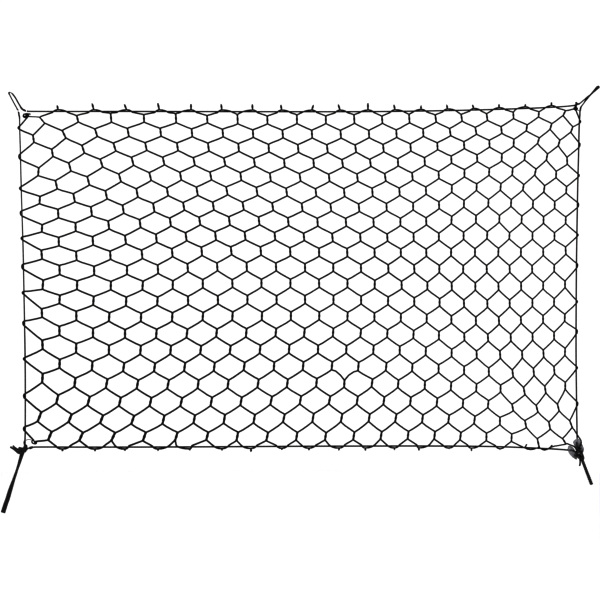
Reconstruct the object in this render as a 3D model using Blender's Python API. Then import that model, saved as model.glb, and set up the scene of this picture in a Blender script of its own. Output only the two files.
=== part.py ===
"""Cargo net: a knotless six-sided mesh reeved on a border cord, stretched upright by its four corners.

Metres, +X to the right, +Z up, front towards -Y. The origin is the middle of the border cord's top run.
Places are written as (across, down) in millimetres from that origin; depth is positive to the back.
"""
import math

import bmesh
import bpy
from mathutils import Matrix, Vector

MM = 0.001

# ---- driving sizes, in millimetres
TWINE = 2.6                 # thickness of the net's twine
BAR_WIDTH = 3.5             # two twines worked together between two meshes
BAR_DEPTH = 3.0
CORD = 3.1                  # thickness of the border cord
THREAD = 1.2                # clear thread that ties the net's corners to the cord
STRAP_WIDTH = 7.4           # flat braid of the two lower ties
STRAP_THICK = 1.6
STRAP_OUTLINE = (           # its section, in halves of its width and thickness
    (-1, -0.55), (-0.72, -1), (0.72, -1), (1, -0.55), (1, 0.55), (0.72, 1), (-0.72, 1), (-1, 0.55),
)
GAP = 0.75                  # between the net's twine and the cord that it goes round
WRAP = CORD / 2 + TWINE / 2 + GAP       # twine's centre to cord's centre there

COLUMNS = 16                # full meshes across in these solids
ROWS = 17                   # rows of meshes in these solids, an odd number
BAR_LENGTH = 16.0           # a worked bar between two meshes
STUB_TOP = 8.0              # cut bars that stand up over the top run
STUB_BOTTOM = 3.5           # and the shorter ones under the bottom run
STUB_LEAN = -1.2            # how far a top stub's end leans to the left
TOP_REACH = 15.0            # the net lies along the cord this far on each side of a stub
SIDE_REACH = 5.0            # and this far up and down at a side turn
BAR_LEAN = 1.75             # bars lean this many times as far as their column does

# Where the stretched net lies. A row for each level, from 0 at the top run to 1 at the bottom run.
# The columns of numbers are stations across, from 0 at the left side run to 1 at the right one.
STATIONS = (0.0, 0.05, 0.15, 0.30, 0.50, 0.65, 0.80, 0.95, 1.0)
LEVELS = (0.091, 0.273, 0.545, 0.727, 0.909)
ACROSS = (
    (-505, -455, -340, -168, 46, 196, 338, 469, 500),
    (-502, -440, -324, -160, 52, 201, 338, 459, 497),
    (-499, -435, -314, -150, 58, 204, 335, 457, 495),
    (-497, -435, -318, -154, 56, 202, 338, 456, 494),
    (-497, -443, -332, -165, 47, 195, 335, 467, 496),
)
DOWN = (
    (55, 44, 38, 39, 41, 39, 34, 30, 40),
    (161, 157, 148, 144, 146, 144, 137, 141, 142),
    (304, 312, 314, 310, 310, 313, 315, 313, 310),
    (414, 424, 430, 429, 428, 431, 439, 435, 429),
    (542, 551, 555, 555, 553, 553, 557, 565, 556),
)

# The border cord's centre line, in runs that follow one another: (across, down, depth).
LEFT_RUN = (
    (-496.8, 575, 0), (-496.6, 484, 0), (-497, 430, 0), (-498.6, 340, 0), (-500.2, 250, 0),
    (-501.8, 196, 0), (-503.5, 138, 0), (-504.9, 70, 0), (-506.5, 28, 0), (-508, 7, 0),
)
UPPER_LEFT_LOOP = (
    (-510.1, -2, 0), (-516.2, -14.4, 0), (-521.1, -24, 0), (-525, -31.5, 0), (-525.4, -35.4, 0),
    (-522.2, -36, 0), (-518.4, -31.6, 0), (-512.1, -20.5, 0), (-507.4, -12.2, 0), (-503.3, -5.6, 0),
    (-498, -1.4, 0), (-490, 0.2, 0),
)
TOP_RUN = (
    (-300, 0.2, 0), (-100, 0, 0), (0, 0, 0), (88, 0, 0), (178, -0.7, 0), (304, -3.2, 0),
    (412, -6.8, 0), (488, -10.7, 0),
)
UPPER_RIGHT_LOOP = (
    (498.5, -12.7, -0.2), (504, -16.4, -0.9), (510.3, -21.8, -1.9), (519.1, -29.2, -1.95),
    (527.8, -36.2, -1.9), (533.9, -40.3, -1.5), (537, -43, -0.6), (535.2, -45.4, 0.4),
    (531.5, -43.6, 1.3), (526, -36.9, 1.9), (519.1, -28.4, 1.95), (514.1, -21.2, 1.9),
    (508.5, -14.2, 0.9), (504.5, -8.6, 0.1), (502.8, -3.5, 0), (501.8, 5, 0),
)
RIGHT_RUN = (
    (500.4, 25, 0), (498.6, 82, 0), (497.2, 136, 0), (495, 271, 0), (494.5, 352, 0),
    (494.3, 433, 0), (495, 514, 0), (496.1, 574, 0), (496.8, 590, 0),
)
LOWER_RIGHT_CORNER = (
    (498, 601, 0), (500, 608.5, 0), (498.5, 612.4, 0), (492.5, 612.4, 0), (481, 609.8, 0),
)
BOTTOM_RUN = (
    (425, 606.4, 0), (340, 603.4, 0), (214, 602.5, 0), (100, 602.7, 0), (-2, 603, 0),
    (-140, 603.8, 0), (-281, 604.4, 0), (-400, 604.5, 0), (-477, 604.4, 0),
)
LOWER_LEFT_CORNER = ((-486, 605.3, 0), (-492.3, 607, 0), (-496, 604.4, 0), (-496.8, 597, 0))

# The net's own corners, worked off in a small knot: (across, down).
NET_UPPER_LEFT = (-492.4, 8.4)
NET_UPPER_RIGHT = (494.6, -3.6)
NET_LOWER_LEFT = (-479.4, 594.6)
# The lower right corner's two twines end against the tie's knot.
LOWER_RIGHT_SIDE_TWINE = (
    (496.6, 579, -3.8), (502.4, 588.6, -3.4), (505.4, 594.6, -5.2), (504.6, 600, -8.2), (503.4, 604.4, -9.2),
)
LOWER_RIGHT_BOTTOM_TWINE = ((479, 598.6, -5.2), (486, 602.0, -8.0), (491.8, 604.2, -8.4))

# The ties' centre lines, with the flat braid's turn about them: (across, down, depth, turn in degrees).
LEFT_TIE = (
    (-501.9, 611.6, 0, 138), (-503.4, 617.4, 0, 128), (-506.7, 630.4, 0, 106), (-511.2, 644.8, 0, 82),
    (-517.5, 663.7, 0, 58), (-523.4, 681.7, 0, 36), (-528.3, 698, 0, 12), (-531.4, 706.5, 0, 0),
    (-536.2, 721.6, 0, 0),
)
RIGHT_TIE_TOP = (506.4, 627.2)
RIGHT_TIE_END = (523.4, 672.6)
RIGHT_TIE_WIDTH = 5.0
RIGHT_TIE_TURNS = 2.25
RIGHT_TIE_TAPER = 0.84      # its width at the knot as a part of its width at the end
RIDGE = 0.16                # how far its two ridges stand out

# How the cords' curves are stepped: by how long a stretch of the route is.
STRAIGHT, STRAIGHT_STEP = 40.0, 60.0
TIGHT, TURN_STEP = 6.6, 1.7
BEND_STEP = 4.2
THREAD_STEP = 2.4
VOXEL = 1.2                 # grain of the knots' fused turns
KNOT_ROOM = 0.5             # gap cut in a knot round what runs through it


def spot(across, down, depth=0.0):
    """A point from its place in millimetres."""
    return Vector((across * MM, depth * MM, -down * MM))


def between(stations, values, at):
    """A smooth curve through values at the stations, straight on past both ends."""
    count = len(stations)
    slopes = []
    for i in range(count):
        low, high = max(i - 1, 0), min(i + 1, count - 1)
        slopes.append((values[high] - values[low]) / (stations[high] - stations[low]))
    if at <= stations[0]:
        return values[0] + slopes[0] * (at - stations[0])
    if at >= stations[-1]:
        return values[-1] + slopes[-1] * (at - stations[-1])
    i = max(n for n in range(count - 1) if stations[n] <= at)
    span = stations[i + 1] - stations[i]
    t = (at - stations[i]) / span
    return (
        (1 + 2 * t) * (1 - t) ** 2 * values[i]
        + t * (1 - t) ** 2 * span * slopes[i]
        + t * t * (3 - 2 * t) * values[i + 1]
        + t * t * (t - 1) * span * slopes[i + 1]
    )


def in_net(fraction_across, fraction_down):
    """(across, down) of a place in the stretched net."""
    across = between(LEVELS, [between(STATIONS, row, fraction_across) for row in ACROSS], fraction_down)
    down = between(LEVELS, [between(STATIONS, row, fraction_across) for row in DOWN], fraction_down)
    return across, down


def mesh_place(half_column, row):
    """The place of half column 0..2*COLUMNS in row -1 (the top run) to ROWS (the bottom run)."""
    return in_net(half_column / (2 * COLUMNS), (row + 1) / (ROWS + 1))


def smooth_route(points, closed, step):
    """Points on a smooth curve through a route's own points, in millimetres; step says how far apart."""
    points = [Vector(p) for p in points]
    count = len(points)
    route = []
    for i in range(count if closed else count - 1):
        if closed:
            before, start, end, after = (points[(i + n) % count] for n in (-1, 0, 1, 2))
        else:
            before, start = points[max(i - 1, 0)], points[i]
            end, after = points[i + 1], points[min(i + 2, count - 1)]
        length = (end - start).length
        pull_out = (end - before) * length / max((end - start).length + (start - before).length, 1e-6)
        pull_in = (after - start) * length / max((after - end).length + length, 1e-6)
        parts = max(1, round(length / step(length)))
        for n in range(parts):
            t = n / parts
            route.append(
                (1 + 2 * t) * (1 - t) ** 2 * start
                + t * (1 - t) ** 2 * pull_out
                + t * t * (3 - 2 * t) * end
                + t * t * (t - 1) * pull_in
            )
    if not closed:
        route.append(points[-1])
    return route


def material(name, colour, roughness, metallic=0.0):
    made = bpy.data.materials.new(name)
    made.use_nodes = True
    shader = made.node_tree.nodes["Principled BSDF"]
    shader.inputs["Base Color"].default_value = (*colour, 1.0)
    shader.inputs["Roughness"].default_value = roughness
    shader.inputs["Metallic"].default_value = metallic
    return made


def new_object(name, mesh, finish, smooth=True):
    item = bpy.data.objects.new(name, mesh)
    bpy.context.scene.collection.objects.link(item)
    if finish is not None:
        mesh.materials.append(finish)
    if smooth and isinstance(mesh, bpy.types.Mesh):
        mesh.shade_smooth()
    return item


def as_cutter(item):
    item.hide_render = True
    item.display_type = "WIRE"
    return item


def boolean(item, other, operation):
    modifier = item.modifiers.new(operation.lower(), "BOOLEAN")
    modifier.operation = operation
    modifier.object = other


# ---- the net

def top_of_cord(across):
    """How far down the top run's centre is at a place across."""
    return between([p[0] for p in TOP_RUN], [p[1] for p in TOP_RUN], across)


def bottom_of_cord(across):
    run = BOTTOM_RUN[::-1]
    return between([p[0] for p in run], [p[1] for p in run], across)


def side_cord(run, down):
    """How far across a side run's centre is at a height."""
    points = sorted(run, key=lambda p: p[1])
    return between([p[1] for p in points], [p[0] for p in points], down)


class Strands:
    """Twines as a graph: knots are points in millimetres, links join two of them at a half width."""

    def __init__(self):
        self.points = []
        self.depths = []
        self.links = []

    def point(self, across, down, depth=0.0, half_depth=TWINE / 2 + 0.1):
        self.points.append(Vector((across, depth, -down)))
        self.depths.append(half_depth)
        return len(self.points) - 1

    def link(self, first, second, half_width=TWINE / 2):
        self.links.append((first, second, half_width))

    def chain(self, places):
        made = [self.point(*place) for place in places]
        for first, second in zip(made, made[1:]):
            self.link(first, second)
        return made


def lay_bars(strands):
    """The worked bars between neighbouring meshes; returns the top and bottom point of each."""
    tops, bottoms = {}, {}
    for row in range(ROWS):
        for half_column in range(1 + (row + 1) % 2, 2 * COLUMNS, 2):
            centre = Vector(mesh_place(half_column, row))
            above = Vector(mesh_place(half_column, row - 1))
            below = Vector(mesh_place(half_column, row + 1))
            fall = below - above
            fall.x *= BAR_LEAN
            half = fall.normalized() * BAR_LENGTH / 2
            top = strands.point(*(centre - half), half_depth=BAR_DEPTH / 2)
            bottom = strands.point(*(centre + half), half_depth=BAR_DEPTH / 2)
            strands.link(top, bottom, BAR_WIDTH / 2)
            tops[half_column, row] = top
            bottoms[half_column, row] = bottom
    return tops, bottoms


def lay_side_turns(strands, run, half_column, outwards, tops, bottoms):
    """At every even row the net's side twine goes round the side run, from its front to its back."""
    for row in range(0, ROWS, 2):
        if outwards > 0 and row == ROWS - 1:
            continue
        down = mesh_place(half_column, row)[1]
        turn = []
        for quarter in range(5):
            angle = math.radians(45 * quarter)
            height = down + SIDE_REACH * (quarter - 2) / 2
            across = side_cord(run, height) + outwards * WRAP * math.sin(angle)
            turn.append((across, height, -WRAP * math.cos(angle)))
        made = strands.chain(turn)
        tops[half_column, row] = made[0]
        bottoms[half_column, row] = made[-1]


def lay_edge_turns(strands, row, cord_height, up, stub, lean, ends):
    """Along the top or bottom run: from behind the cord, over its outside with a cut stub, to its front."""
    for half_column in range(3, 2 * COLUMNS - 1, 2):
        middle = mesh_place(half_column, row)[0]
        turn = []
        for quarter in range(5):
            angle = math.radians(45 * quarter)
            across = middle + TOP_REACH * (quarter - 2) / 2
            height = cord_height(across) - up * WRAP * math.sin(angle)
            turn.append((across, height, WRAP * math.cos(angle)))
        made = strands.chain(turn)
        tip = strands.point(middle + lean, turn[2][1] - up * stub, 0.0, 0.9)
        strands.link(made[2], tip, BAR_WIDTH / 2 - 0.2)
        ends[half_column, row] = (made[0], made[-1])


def lay_net():
    strands = Strands()
    tops, bottoms = lay_bars(strands)
    lay_side_turns(strands, LEFT_RUN, 0, -1, tops, bottoms)
    lay_side_turns(strands, RIGHT_RUN, 2 * COLUMNS, 1, tops, bottoms)
    ends = {}
    lay_edge_turns(strands, -1, top_of_cord, 1, STUB_TOP, STUB_LEAN, ends)
    lay_edge_turns(strands, ROWS, bottom_of_cord, -1, STUB_BOTTOM, 0.0, ends)

    last = 2 * COLUMNS
    corners = {}
    worked_off = (((1, -1), NET_UPPER_LEFT), ((last - 1, -1), NET_UPPER_RIGHT), ((1, ROWS), NET_LOWER_LEFT))
    for key, place in worked_off:
        corners[key] = strands.point(*place)
        ends[key] = (corners[key], corners[key])

    for (half_column, row), bottom in bottoms.items():
        for side in (-1, 1):
            below = (half_column + side, row + 1)
            if row + 1 < ROWS and below in tops:
                strands.link(bottom, tops[below])
    for (half_column, row), (left, right) in ends.items():
        touching = tops if row < 0 else bottoms
        neighbour_row = 0 if row < 0 else ROWS - 1
        strands.link(left, touching[half_column - 1, neighbour_row])
        strands.link(right, touching[half_column + 1, neighbour_row])

    side = strands.chain(LOWER_RIGHT_SIDE_TWINE)
    strands.link(bottoms[last - 1, ROWS - 2], side[0])
    along = strands.chain(LOWER_RIGHT_BOTTOM_TWINE)
    strands.link(bottoms[last - 2, ROWS - 1], along[0])

    stub = strands.chain(((494.8, -10.5, -WRAP), (494.2, -17.5, -WRAP)))
    strands.link(corners[last - 1, -1], stub[0])
    return strands


def skin(strands, name, finish):
    """One closed surface round all the strands: a ridge to the front and back, and an edge on each side."""
    count = len(strands.points)
    spokes = [[] for _ in range(count)]
    for first, second, half_width in strands.links:
        for near, far in ((first, second), (second, first)):
            reach = strands.points[far] - strands.points[near]
            flat = Vector((reach.x, reach.z)).normalized()
            spokes[near].append((math.atan2(flat.y, flat.x), far, flat, half_width))
    shape = bmesh.new()
    front, back, corner = [], [], {}
    for i, point in enumerate(strands.points):
        depth = Vector((0, strands.depths[i], 0))
        front.append(shape.verts.new((point - depth) * MM))
        back.append(shape.verts.new((point + depth) * MM))
        ring = sorted(spokes[i])
        for n, (angle, far, flat, half_width) in enumerate(ring):
            _, next_far, next_flat, next_width = ring[(n + 1) % len(ring)]
            if len(ring) == 1:
                for turn in (1, -1):
                    off = Vector((-flat.y, flat.x)) * turn * half_width
                    made = shape.verts.new((point + Vector((off.x, 0, off.y))) * MM)
                    corner[i, far, turn] = made
                continue
            sine = flat.x * next_flat.y - flat.y * next_flat.x
            if abs(sine) < 0.15:
                off = Vector((-flat.y, flat.x)) * (half_width + next_width) / 2
            else:
                off = (flat * next_width + next_flat * half_width) / sine
            made = shape.verts.new((point + Vector((off.x, 0, off.y))) * MM)
            corner[i, far, 1] = made
            corner[i, next_far, -1] = made
        if len(ring) == 1:
            far = ring[0][1]
            shape.faces.new((front[i], corner[i, far, 1], back[i], corner[i, far, -1]))
    for first, second, _ in strands.links:
        left = corner[first, second, 1], corner[second, first, -1]
        right = corner[first, second, -1], corner[second, first, 1]
        shape.faces.new((front[first], front[second], left[1], left[0]))
        shape.faces.new((front[first], right[0], right[1], front[second]))
        shape.faces.new((back[second], back[first], left[0], left[1]))
        shape.faces.new((right[0], back[first], back[second], right[1]))
    mesh = bpy.data.meshes.new(name)
    shape.to_mesh(mesh)
    shape.free()
    return new_object(name, mesh, finish, smooth=False)


# ---- cords, turns and knots

def tube(name, route, radius, finish, closed=False, sides=2):
    """A round cord along a route in millimetres."""
    curve = bpy.data.curves.new(name, "CURVE")
    curve.dimensions = "3D"
    curve.bevel_depth = radius * MM
    curve.bevel_resolution = sides
    curve.use_fill_caps = True
    spline = curve.splines.new("POLY")
    spline.points.add(len(route) - 1)
    for point, (across, down, depth) in zip(spline.points, route):
        point.co = (*spot(across, down, depth), 1.0)
    spline.use_cyclic_u = closed
    return new_object(name, curve, finish)


def tube_room(name, route, radius, sides=8):
    """The same round length as a mesh, to cut with, open along a route in millimetres."""
    shape = bmesh.new()
    rings = []
    for i, point in enumerate(route):
        along = (route[min(i + 1, len(route) - 1)] - route[max(i - 1, 0)]).normalized()
        wide = Vector((0, 0, 1)).cross(along).normalized()
        thin = along.cross(wide)
        ring = []
        for n in range(sides):
            angle = 2 * math.pi * n / sides
            off = (wide * math.cos(angle) + thin * math.sin(angle)) * radius / math.cos(math.pi / sides)
            ring.append(shape.verts.new(spot(*(point + off))))
        rings.append(ring)
    close_rings(shape, rings)
    return as_cutter(from_rings(name, shape, None))


def border_step(length):
    """How far apart the points lie: sparse where the cord runs straight, close in its tight turns."""
    if length > STRAIGHT:
        return STRAIGHT_STEP
    return TURN_STEP if length < TIGHT else BEND_STEP


def border_route():
    runs = (LEFT_RUN, UPPER_LEFT_LOOP, TOP_RUN, UPPER_RIGHT_LOOP, RIGHT_RUN)
    corners = (LOWER_RIGHT_CORNER, BOTTOM_RUN, LOWER_LEFT_CORNER)
    points = [point for run in runs + corners for point in run]
    return smooth_route(points, True, border_step)


def ball(shape, place, sizes, direction=(0, 0, 1), segments=12):
    """An egg-shaped turn of a knot, its third size along the direction."""
    axis = Vector(direction).normalized()
    turn = Vector((0, 0, 1)).rotation_difference(axis).to_matrix().to_4x4()
    matrix = Matrix.Translation(spot(*place)) @ turn @ Matrix.Diagonal((*[s * MM for s in sizes], 1.0))
    rings = segments // 2 + 2
    bmesh.ops.create_uvsphere(shape, u_segments=segments, v_segments=rings, radius=1.0, matrix=matrix)


def stick(shape, start, end, radius, segments=10):
    """A straight round length between two places."""
    first, second = spot(*start), spot(*end)
    axis = second - first
    turn = Vector((0, 0, 1)).rotation_difference(axis).to_matrix().to_4x4()
    matrix = Matrix.Translation((first + second) / 2) @ turn
    bmesh.ops.create_cone(
        shape, cap_ends=True, segments=segments, radius1=radius * MM, radius2=radius * MM,
        depth=axis.length, matrix=matrix,
    )


def fused(name, shape, finish, voxel=VOXEL):
    """The turns in a shape, drawn together as one solid."""
    mesh = bpy.data.meshes.new(name)
    shape.to_mesh(mesh)
    shape.free()
    item = new_object(name, mesh, finish)
    remesh = item.modifiers.new("fuse", "REMESH")
    remesh.mode = "VOXEL"
    remesh.voxel_size = voxel * MM
    remesh.use_smooth_shade = True
    thin = item.modifiers.new("thin", "DECIMATE")
    thin.ratio = 0.5
    return item


def lower_left_knot(finish):
    """The left tie's knot round the border cord's corner, with its two short ends."""
    shape = bmesh.new()
    for place, sizes, direction in (
        ((-494.2, 605.2, 0), (5.2, 5.4, 6.8), (0.7, 0.2, 0.5)),
        ((-498.4, 608.6, -0.6), (4.6, 5.2, 6.4), (-0.5, 0.3, 0.8)),
        ((-493.2, 600.6, -1.0), (2.4, 2.6, 3.4), (0.1, 0.2, 1)),
        ((-505.6, 609.6, 0.4), (4.6, 4.8, 5.4), (1, 0.2, -0.4)),
        ((-502.4, 613.4, 0.0), (4.4, 4.2, 5.4), (-0.3, 0, -1)),
        ((-507.6, 605.8, 0.2), (2.3, 2.8, 3.4), (-1, 0, 0.6)),
        ((-487.2, 606.2, -0.2), (2.9, 3.1, 4.6), (1, 0, 0.3)),
    ):
        ball(shape, place, sizes, direction)
    stick(shape, (-505, 607.8, -0.8), (-522.8, 603.8, -1.4), 1.5)
    stick(shape, (-504, 606.6, 1.2), (-519.2, 600.9, 1.4), 1.5)
    return fused("tie_knot_left", shape, finish)


def lower_right_lumps(shape, grow):
    for place, sizes, direction in (
        ((499.4, 604.6, -7.6), (2.0, 2.2, 7.2), (-0.1, 0, 1)),
        ((501.6, 612.6, -3.2), (4.8, 5.6, 6.4), (0.3, 0, -1)),
        ((497.0, 616.0, -4.2), (3.2, 3.6, 5.0), (1, 0.2, 0.5)),
        ((505.2, 617.4, -2.0), (3.4, 4.4, 4.6), (-0.5, 0.2, 1)),
        ((505.6, 623.6, -0.6), (3.3, 3.8, 4.8), (0.3, 0, -1)),
        ((502.4, 626.8, -1.4), (1.6, 1.8, 3.2), (-0.1, 0, -1)),
    ):
        ball(shape, place, [size + grow for size in sizes], direction)
    stick(shape, (502.6, 624, -1.4), (501.4, 638.4, -1.8), 1.15 + grow)


def lower_right_knot(finish):
    shape = bmesh.new()
    lower_right_lumps(shape, 0.0)
    return fused("tie_knot_right", shape, finish)


def net_corner_knot(name, place, finish):
    """A small overhand knot in the net's own corner twine."""
    shape = bmesh.new()
    across, down = place
    ball(shape, (across - 0.4, down - 2.2, -0.8), (3.0, 3.2, 3.9), (1, 0, 0.2))
    ball(shape, (across + 0.2, down + 1.6, 0.4), (2.8, 3.0, 4.2), (0.6, 0, -0.7))
    ball(shape, (across - 3.4, down + 1.6, 0.2), (2.0, 2.3, 2.6), (0, 1, 0.2))
    return as_cutter(fused(name, shape, finish, 1.3))


def flat_tie(name, table, width, thick, finish, grow=0.0):
    """A flat braid swept down its centre line, turned about it as the table says."""
    shape = bmesh.new()
    rings = []
    for i, (across, down, depth, degrees) in enumerate(table):
        before, after = table[max(i - 1, 0)], table[min(i + 1, len(table) - 1)]
        along = (spot(*after[:3]) - spot(*before[:3])).normalized()
        flat = Vector((0, 1, 0)).cross(along).normalized()
        facing = along.cross(flat)
        turn = math.radians(degrees)
        wide = flat * math.cos(turn) + facing * math.sin(turn)
        thin = along.cross(wide)
        centre = spot(across, down, depth)
        if i == 0:
            centre -= along * grow * MM
        ring = []
        for sideways, outwards in STRAP_OUTLINE:
            off = wide * sideways * (width / 2 + grow) + thin * outwards * (thick / 2 + grow)
            ring.append(shape.verts.new(centre + off * MM))
        rings.append(ring)
    close_rings(shape, rings)
    return from_rings(name, shape, finish)


def close_rings(shape, rings):
    count = len(rings[0])
    for upper, lower in zip(rings, rings[1:]):
        for n in range(count):
            m = (n + 1) % count
            shape.faces.new((upper[n], upper[m], lower[m], lower[n]))
    shape.faces.new(rings[0][::-1])
    shape.faces.new(rings[-1])


def from_rings(name, shape, finish):
    bmesh.ops.recalc_face_normals(shape, faces=shape.faces)
    mesh = bpy.data.meshes.new(name)
    shape.to_mesh(mesh)
    shape.free()
    return new_object(name, mesh, finish, smooth=False)


def twisted_tie(name, finish):
    """The right tie, its braid twisted up so that it shows two ridges winding down."""
    shape = bmesh.new()
    rings = []
    steps, sides = 30, 10
    top, end = Vector(RIGHT_TIE_TOP), Vector(RIGHT_TIE_END)
    fall = (end - top).normalized()
    across_axis = Vector((-fall.y, fall.x))
    for i in range(steps + 1):
        t = i / steps
        centre = top.lerp(end, t)
        turn = 2 * math.pi * RIGHT_TIE_TURNS * t
        swell = RIGHT_TIE_TAPER + (1 - RIGHT_TIE_TAPER) * t
        ring = []
        for n in range(sides):
            angle = 2 * math.pi * n / sides
            ridge = 1 + RIDGE * math.cos(2 * (angle - turn))
            radius = RIGHT_TIE_WIDTH / 2 / (1 + RIDGE) * swell * ridge
            off = across_axis * radius * math.cos(angle)
            ring.append(shape.verts.new(spot(centre.x + off.x, centre.y + off.y, radius * math.sin(angle))))
        rings.append(ring)
    close_rings(shape, rings)
    return from_rings(name, shape, finish)


# ---- grey tape gathered into the lower right knot

TAPE_LOBES = {
    # root end and outer end (across, down, depth), half thickness, pleats, and half widths on the way
    "up": ((499.2, 610.5, -4.4), (496.2, 589.4, -4.6), 2.4, 5, (1.8, 3.0, 4.8, 6.2, 6.6, 6.2, 4.4, 1.6)),
    "left": ((496.6, 625.8, -3.8), (482.6, 603.0, -3.4), 2.0, 5, (2.4, 3.8, 4.9, 5.5, 5.6, 5.3, 4.1, 1.8)),
    "right": ((507.0, 615.2, -3.6), (505.6, 598.2, -4.2), 1.8, 3, (1.0, 1.9, 2.4, 2.6, 2.5, 2.1, 1.5, 0.7)),
}
TAPE_SIDES = 14
TAPE_FLAT = 3.0             # a loop narrower than this to each side thins as it narrows
PLEAT_DEPTH = 0.16


def tape_lobe(shape, root, tip, half_thick, pleats, widths):
    """A gathered loop of tape: narrow at the knot, round at its outer end, pleated along its length."""
    start, end = spot(*root), spot(*tip)
    along = (end - start).normalized()
    wide = along.cross(Vector((0, 1, 0))).normalized()
    thin = along.cross(wide)
    rings = []
    for i, half_width in enumerate(widths):
        t = (i / (len(widths) - 1)) ** 0.9
        centre = start.lerp(end, t)
        ring = []
        for n in range(TAPE_SIDES):
            angle = 2 * math.pi * n / TAPE_SIDES
            pleat = 1 + PLEAT_DEPTH * math.cos(pleats * angle)
            depth = half_thick * pleat * min(1, half_width / TAPE_FLAT)
            off = wide * half_width * math.cos(angle) + thin * depth * math.sin(angle)
            ring.append(shape.verts.new(centre + off * MM))
        rings.append(ring)
    close_rings(shape, rings)


def tape(finish):
    """Three loops of grey tape, each cut clear of the knot that gathers them."""
    shape = bmesh.new()
    lower_right_lumps(shape, KNOT_ROOM)
    room_for_knot = as_cutter(fused("room_for_right_knot", shape, None))
    loops = []
    for name, values in TAPE_LOBES.items():
        shape = bmesh.new()
        tape_lobe(shape, *values)
        loop = from_rings("tape_" + name, shape, finish)
        boolean(loop, room_for_knot, "DIFFERENCE")
        loops.append(loop)
    return loops


# ---- clear thread at three corners: closed loops of (across, down, depth)

THREAD_LOOPS = {
    "thread_upper_left": (
        (-512.4, 2.2, 0.4), (-510.4, 0.8, -2.8), (-504, -2.2, -3.7), (-496, -1.4, -3.5), (-489.4, 1.6, -3.3),
        (-485.8, 4.0, 0), (-486.6, 6.4, 3.4), (-490.4, 11.4, 5.4), (-497, 13, 5.6), (-504.4, 9.4, 4.8),
        (-510.6, 5.4, 3.3),
    ),
    "thread_upper_right": (
        (505.3, 0.4, 0.4), (503.8, 1.2, -3.3), (499.6, 3.4, -4.8), (495.4, 5.4, -3.7), (494.0, 6.2, -1.0),
        (496.2, 5.4, 1.5), (500.6, 3.0, 3.0), (504.2, 1.0, 2.8),
    ),
    "thread_lower_left": (
        (-499.9, 593.6, 0), (-497.6, 591.6, -3.2), (-492.5, 589.9, -3.9), (-488.0, 590.4, -2.4),
        (-485.9, 592.8, 0.4), (-489.5, 594.4, 3.0), (-495.0, 594.9, 3.9), (-498.8, 594.6, 2.6),
    ),
}


def main():
    for item in list(bpy.data.objects):
        bpy.data.objects.remove(item, do_unlink=True)

    twine = material("black_twine", (0.012, 0.012, 0.013), 0.62)
    cord = material("black_cord", (0.014, 0.014, 0.015), 0.58)
    braid = material("black_braid", (0.011, 0.011, 0.012), 0.66)
    grey_tape = material("grey_tape", (0.115, 0.115, 0.125), 0.38)
    clear_thread = material("clear_thread", (0.62, 0.58, 0.59), 0.3)

    net = skin(lay_net(), "net_panel", twine)
    for name, place in (
        ("knot_upper_left", NET_UPPER_LEFT),
        ("knot_upper_right", NET_UPPER_RIGHT),
        ("knot_lower_left", NET_LOWER_LEFT),
    ):
        boolean(net, net_corner_knot(name, place, twine), "UNION")

    route = border_route()
    tube("border_cord", route, CORD / 2, cord, closed=True)
    left_corner = smooth_route(BOTTOM_RUN[-2:] + LOWER_LEFT_CORNER + LEFT_RUN[:2], False, border_step)
    right_corner = smooth_route(RIGHT_RUN[-3:] + LOWER_RIGHT_CORNER + BOTTOM_RUN[:1], False, border_step)
    room_for_left_corner = tube_room("room_for_left_corner", left_corner, CORD / 2 + KNOT_ROOM)
    room_for_right_corner = tube_room("room_for_right_corner", right_corner, CORD / 2 + KNOT_ROOM)

    left_knot = lower_left_knot(braid)
    room_for_left_tie = as_cutter(
        flat_tie("room_for_left_tie", LEFT_TIE[:3], STRAP_WIDTH, STRAP_THICK, None, KNOT_ROOM)
    )
    boolean(left_knot, room_for_left_corner, "DIFFERENCE")
    boolean(left_knot, room_for_left_tie, "DIFFERENCE")
    flat_tie("tie_left", LEFT_TIE, STRAP_WIDTH, STRAP_THICK, braid)

    right_knot = lower_right_knot(braid)
    boolean(right_knot, room_for_right_corner, "DIFFERENCE")
    top, end = Vector((*RIGHT_TIE_TOP, 0)), Vector((*RIGHT_TIE_END, 0))
    first_part = [top.lerp(end, -0.02), top.lerp(end, 0.3)]
    top_radius = RIGHT_TIE_WIDTH / 2 * RIGHT_TIE_TAPER
    room_for_right_tie = tube_room("room_for_right_tie", first_part, top_radius + KNOT_ROOM)
    boolean(right_knot, room_for_right_tie, "DIFFERENCE")
    twisted_tie("tie_right", braid)

    for loop in tape(grey_tape):
        boolean(loop, room_for_right_corner, "DIFFERENCE")

    for name, loop in THREAD_LOOPS.items():
        thread = smooth_route(loop, True, lambda length: THREAD_STEP)
        tube(name, thread, THREAD / 2, clear_thread, closed=True, sides=1)


main()
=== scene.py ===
"""The cargo net's looks: twines, braids, knots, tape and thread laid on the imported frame.

Places are (across, down, depth) in millimetres from the middle of the border cord's top run,
as in the part's own source: across to the right, down, and depth to the back. A place with no
depth lies in the net's own plane.
"""

import math

import bpy
import numpy as np
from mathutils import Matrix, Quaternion, Vector, noise


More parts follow.
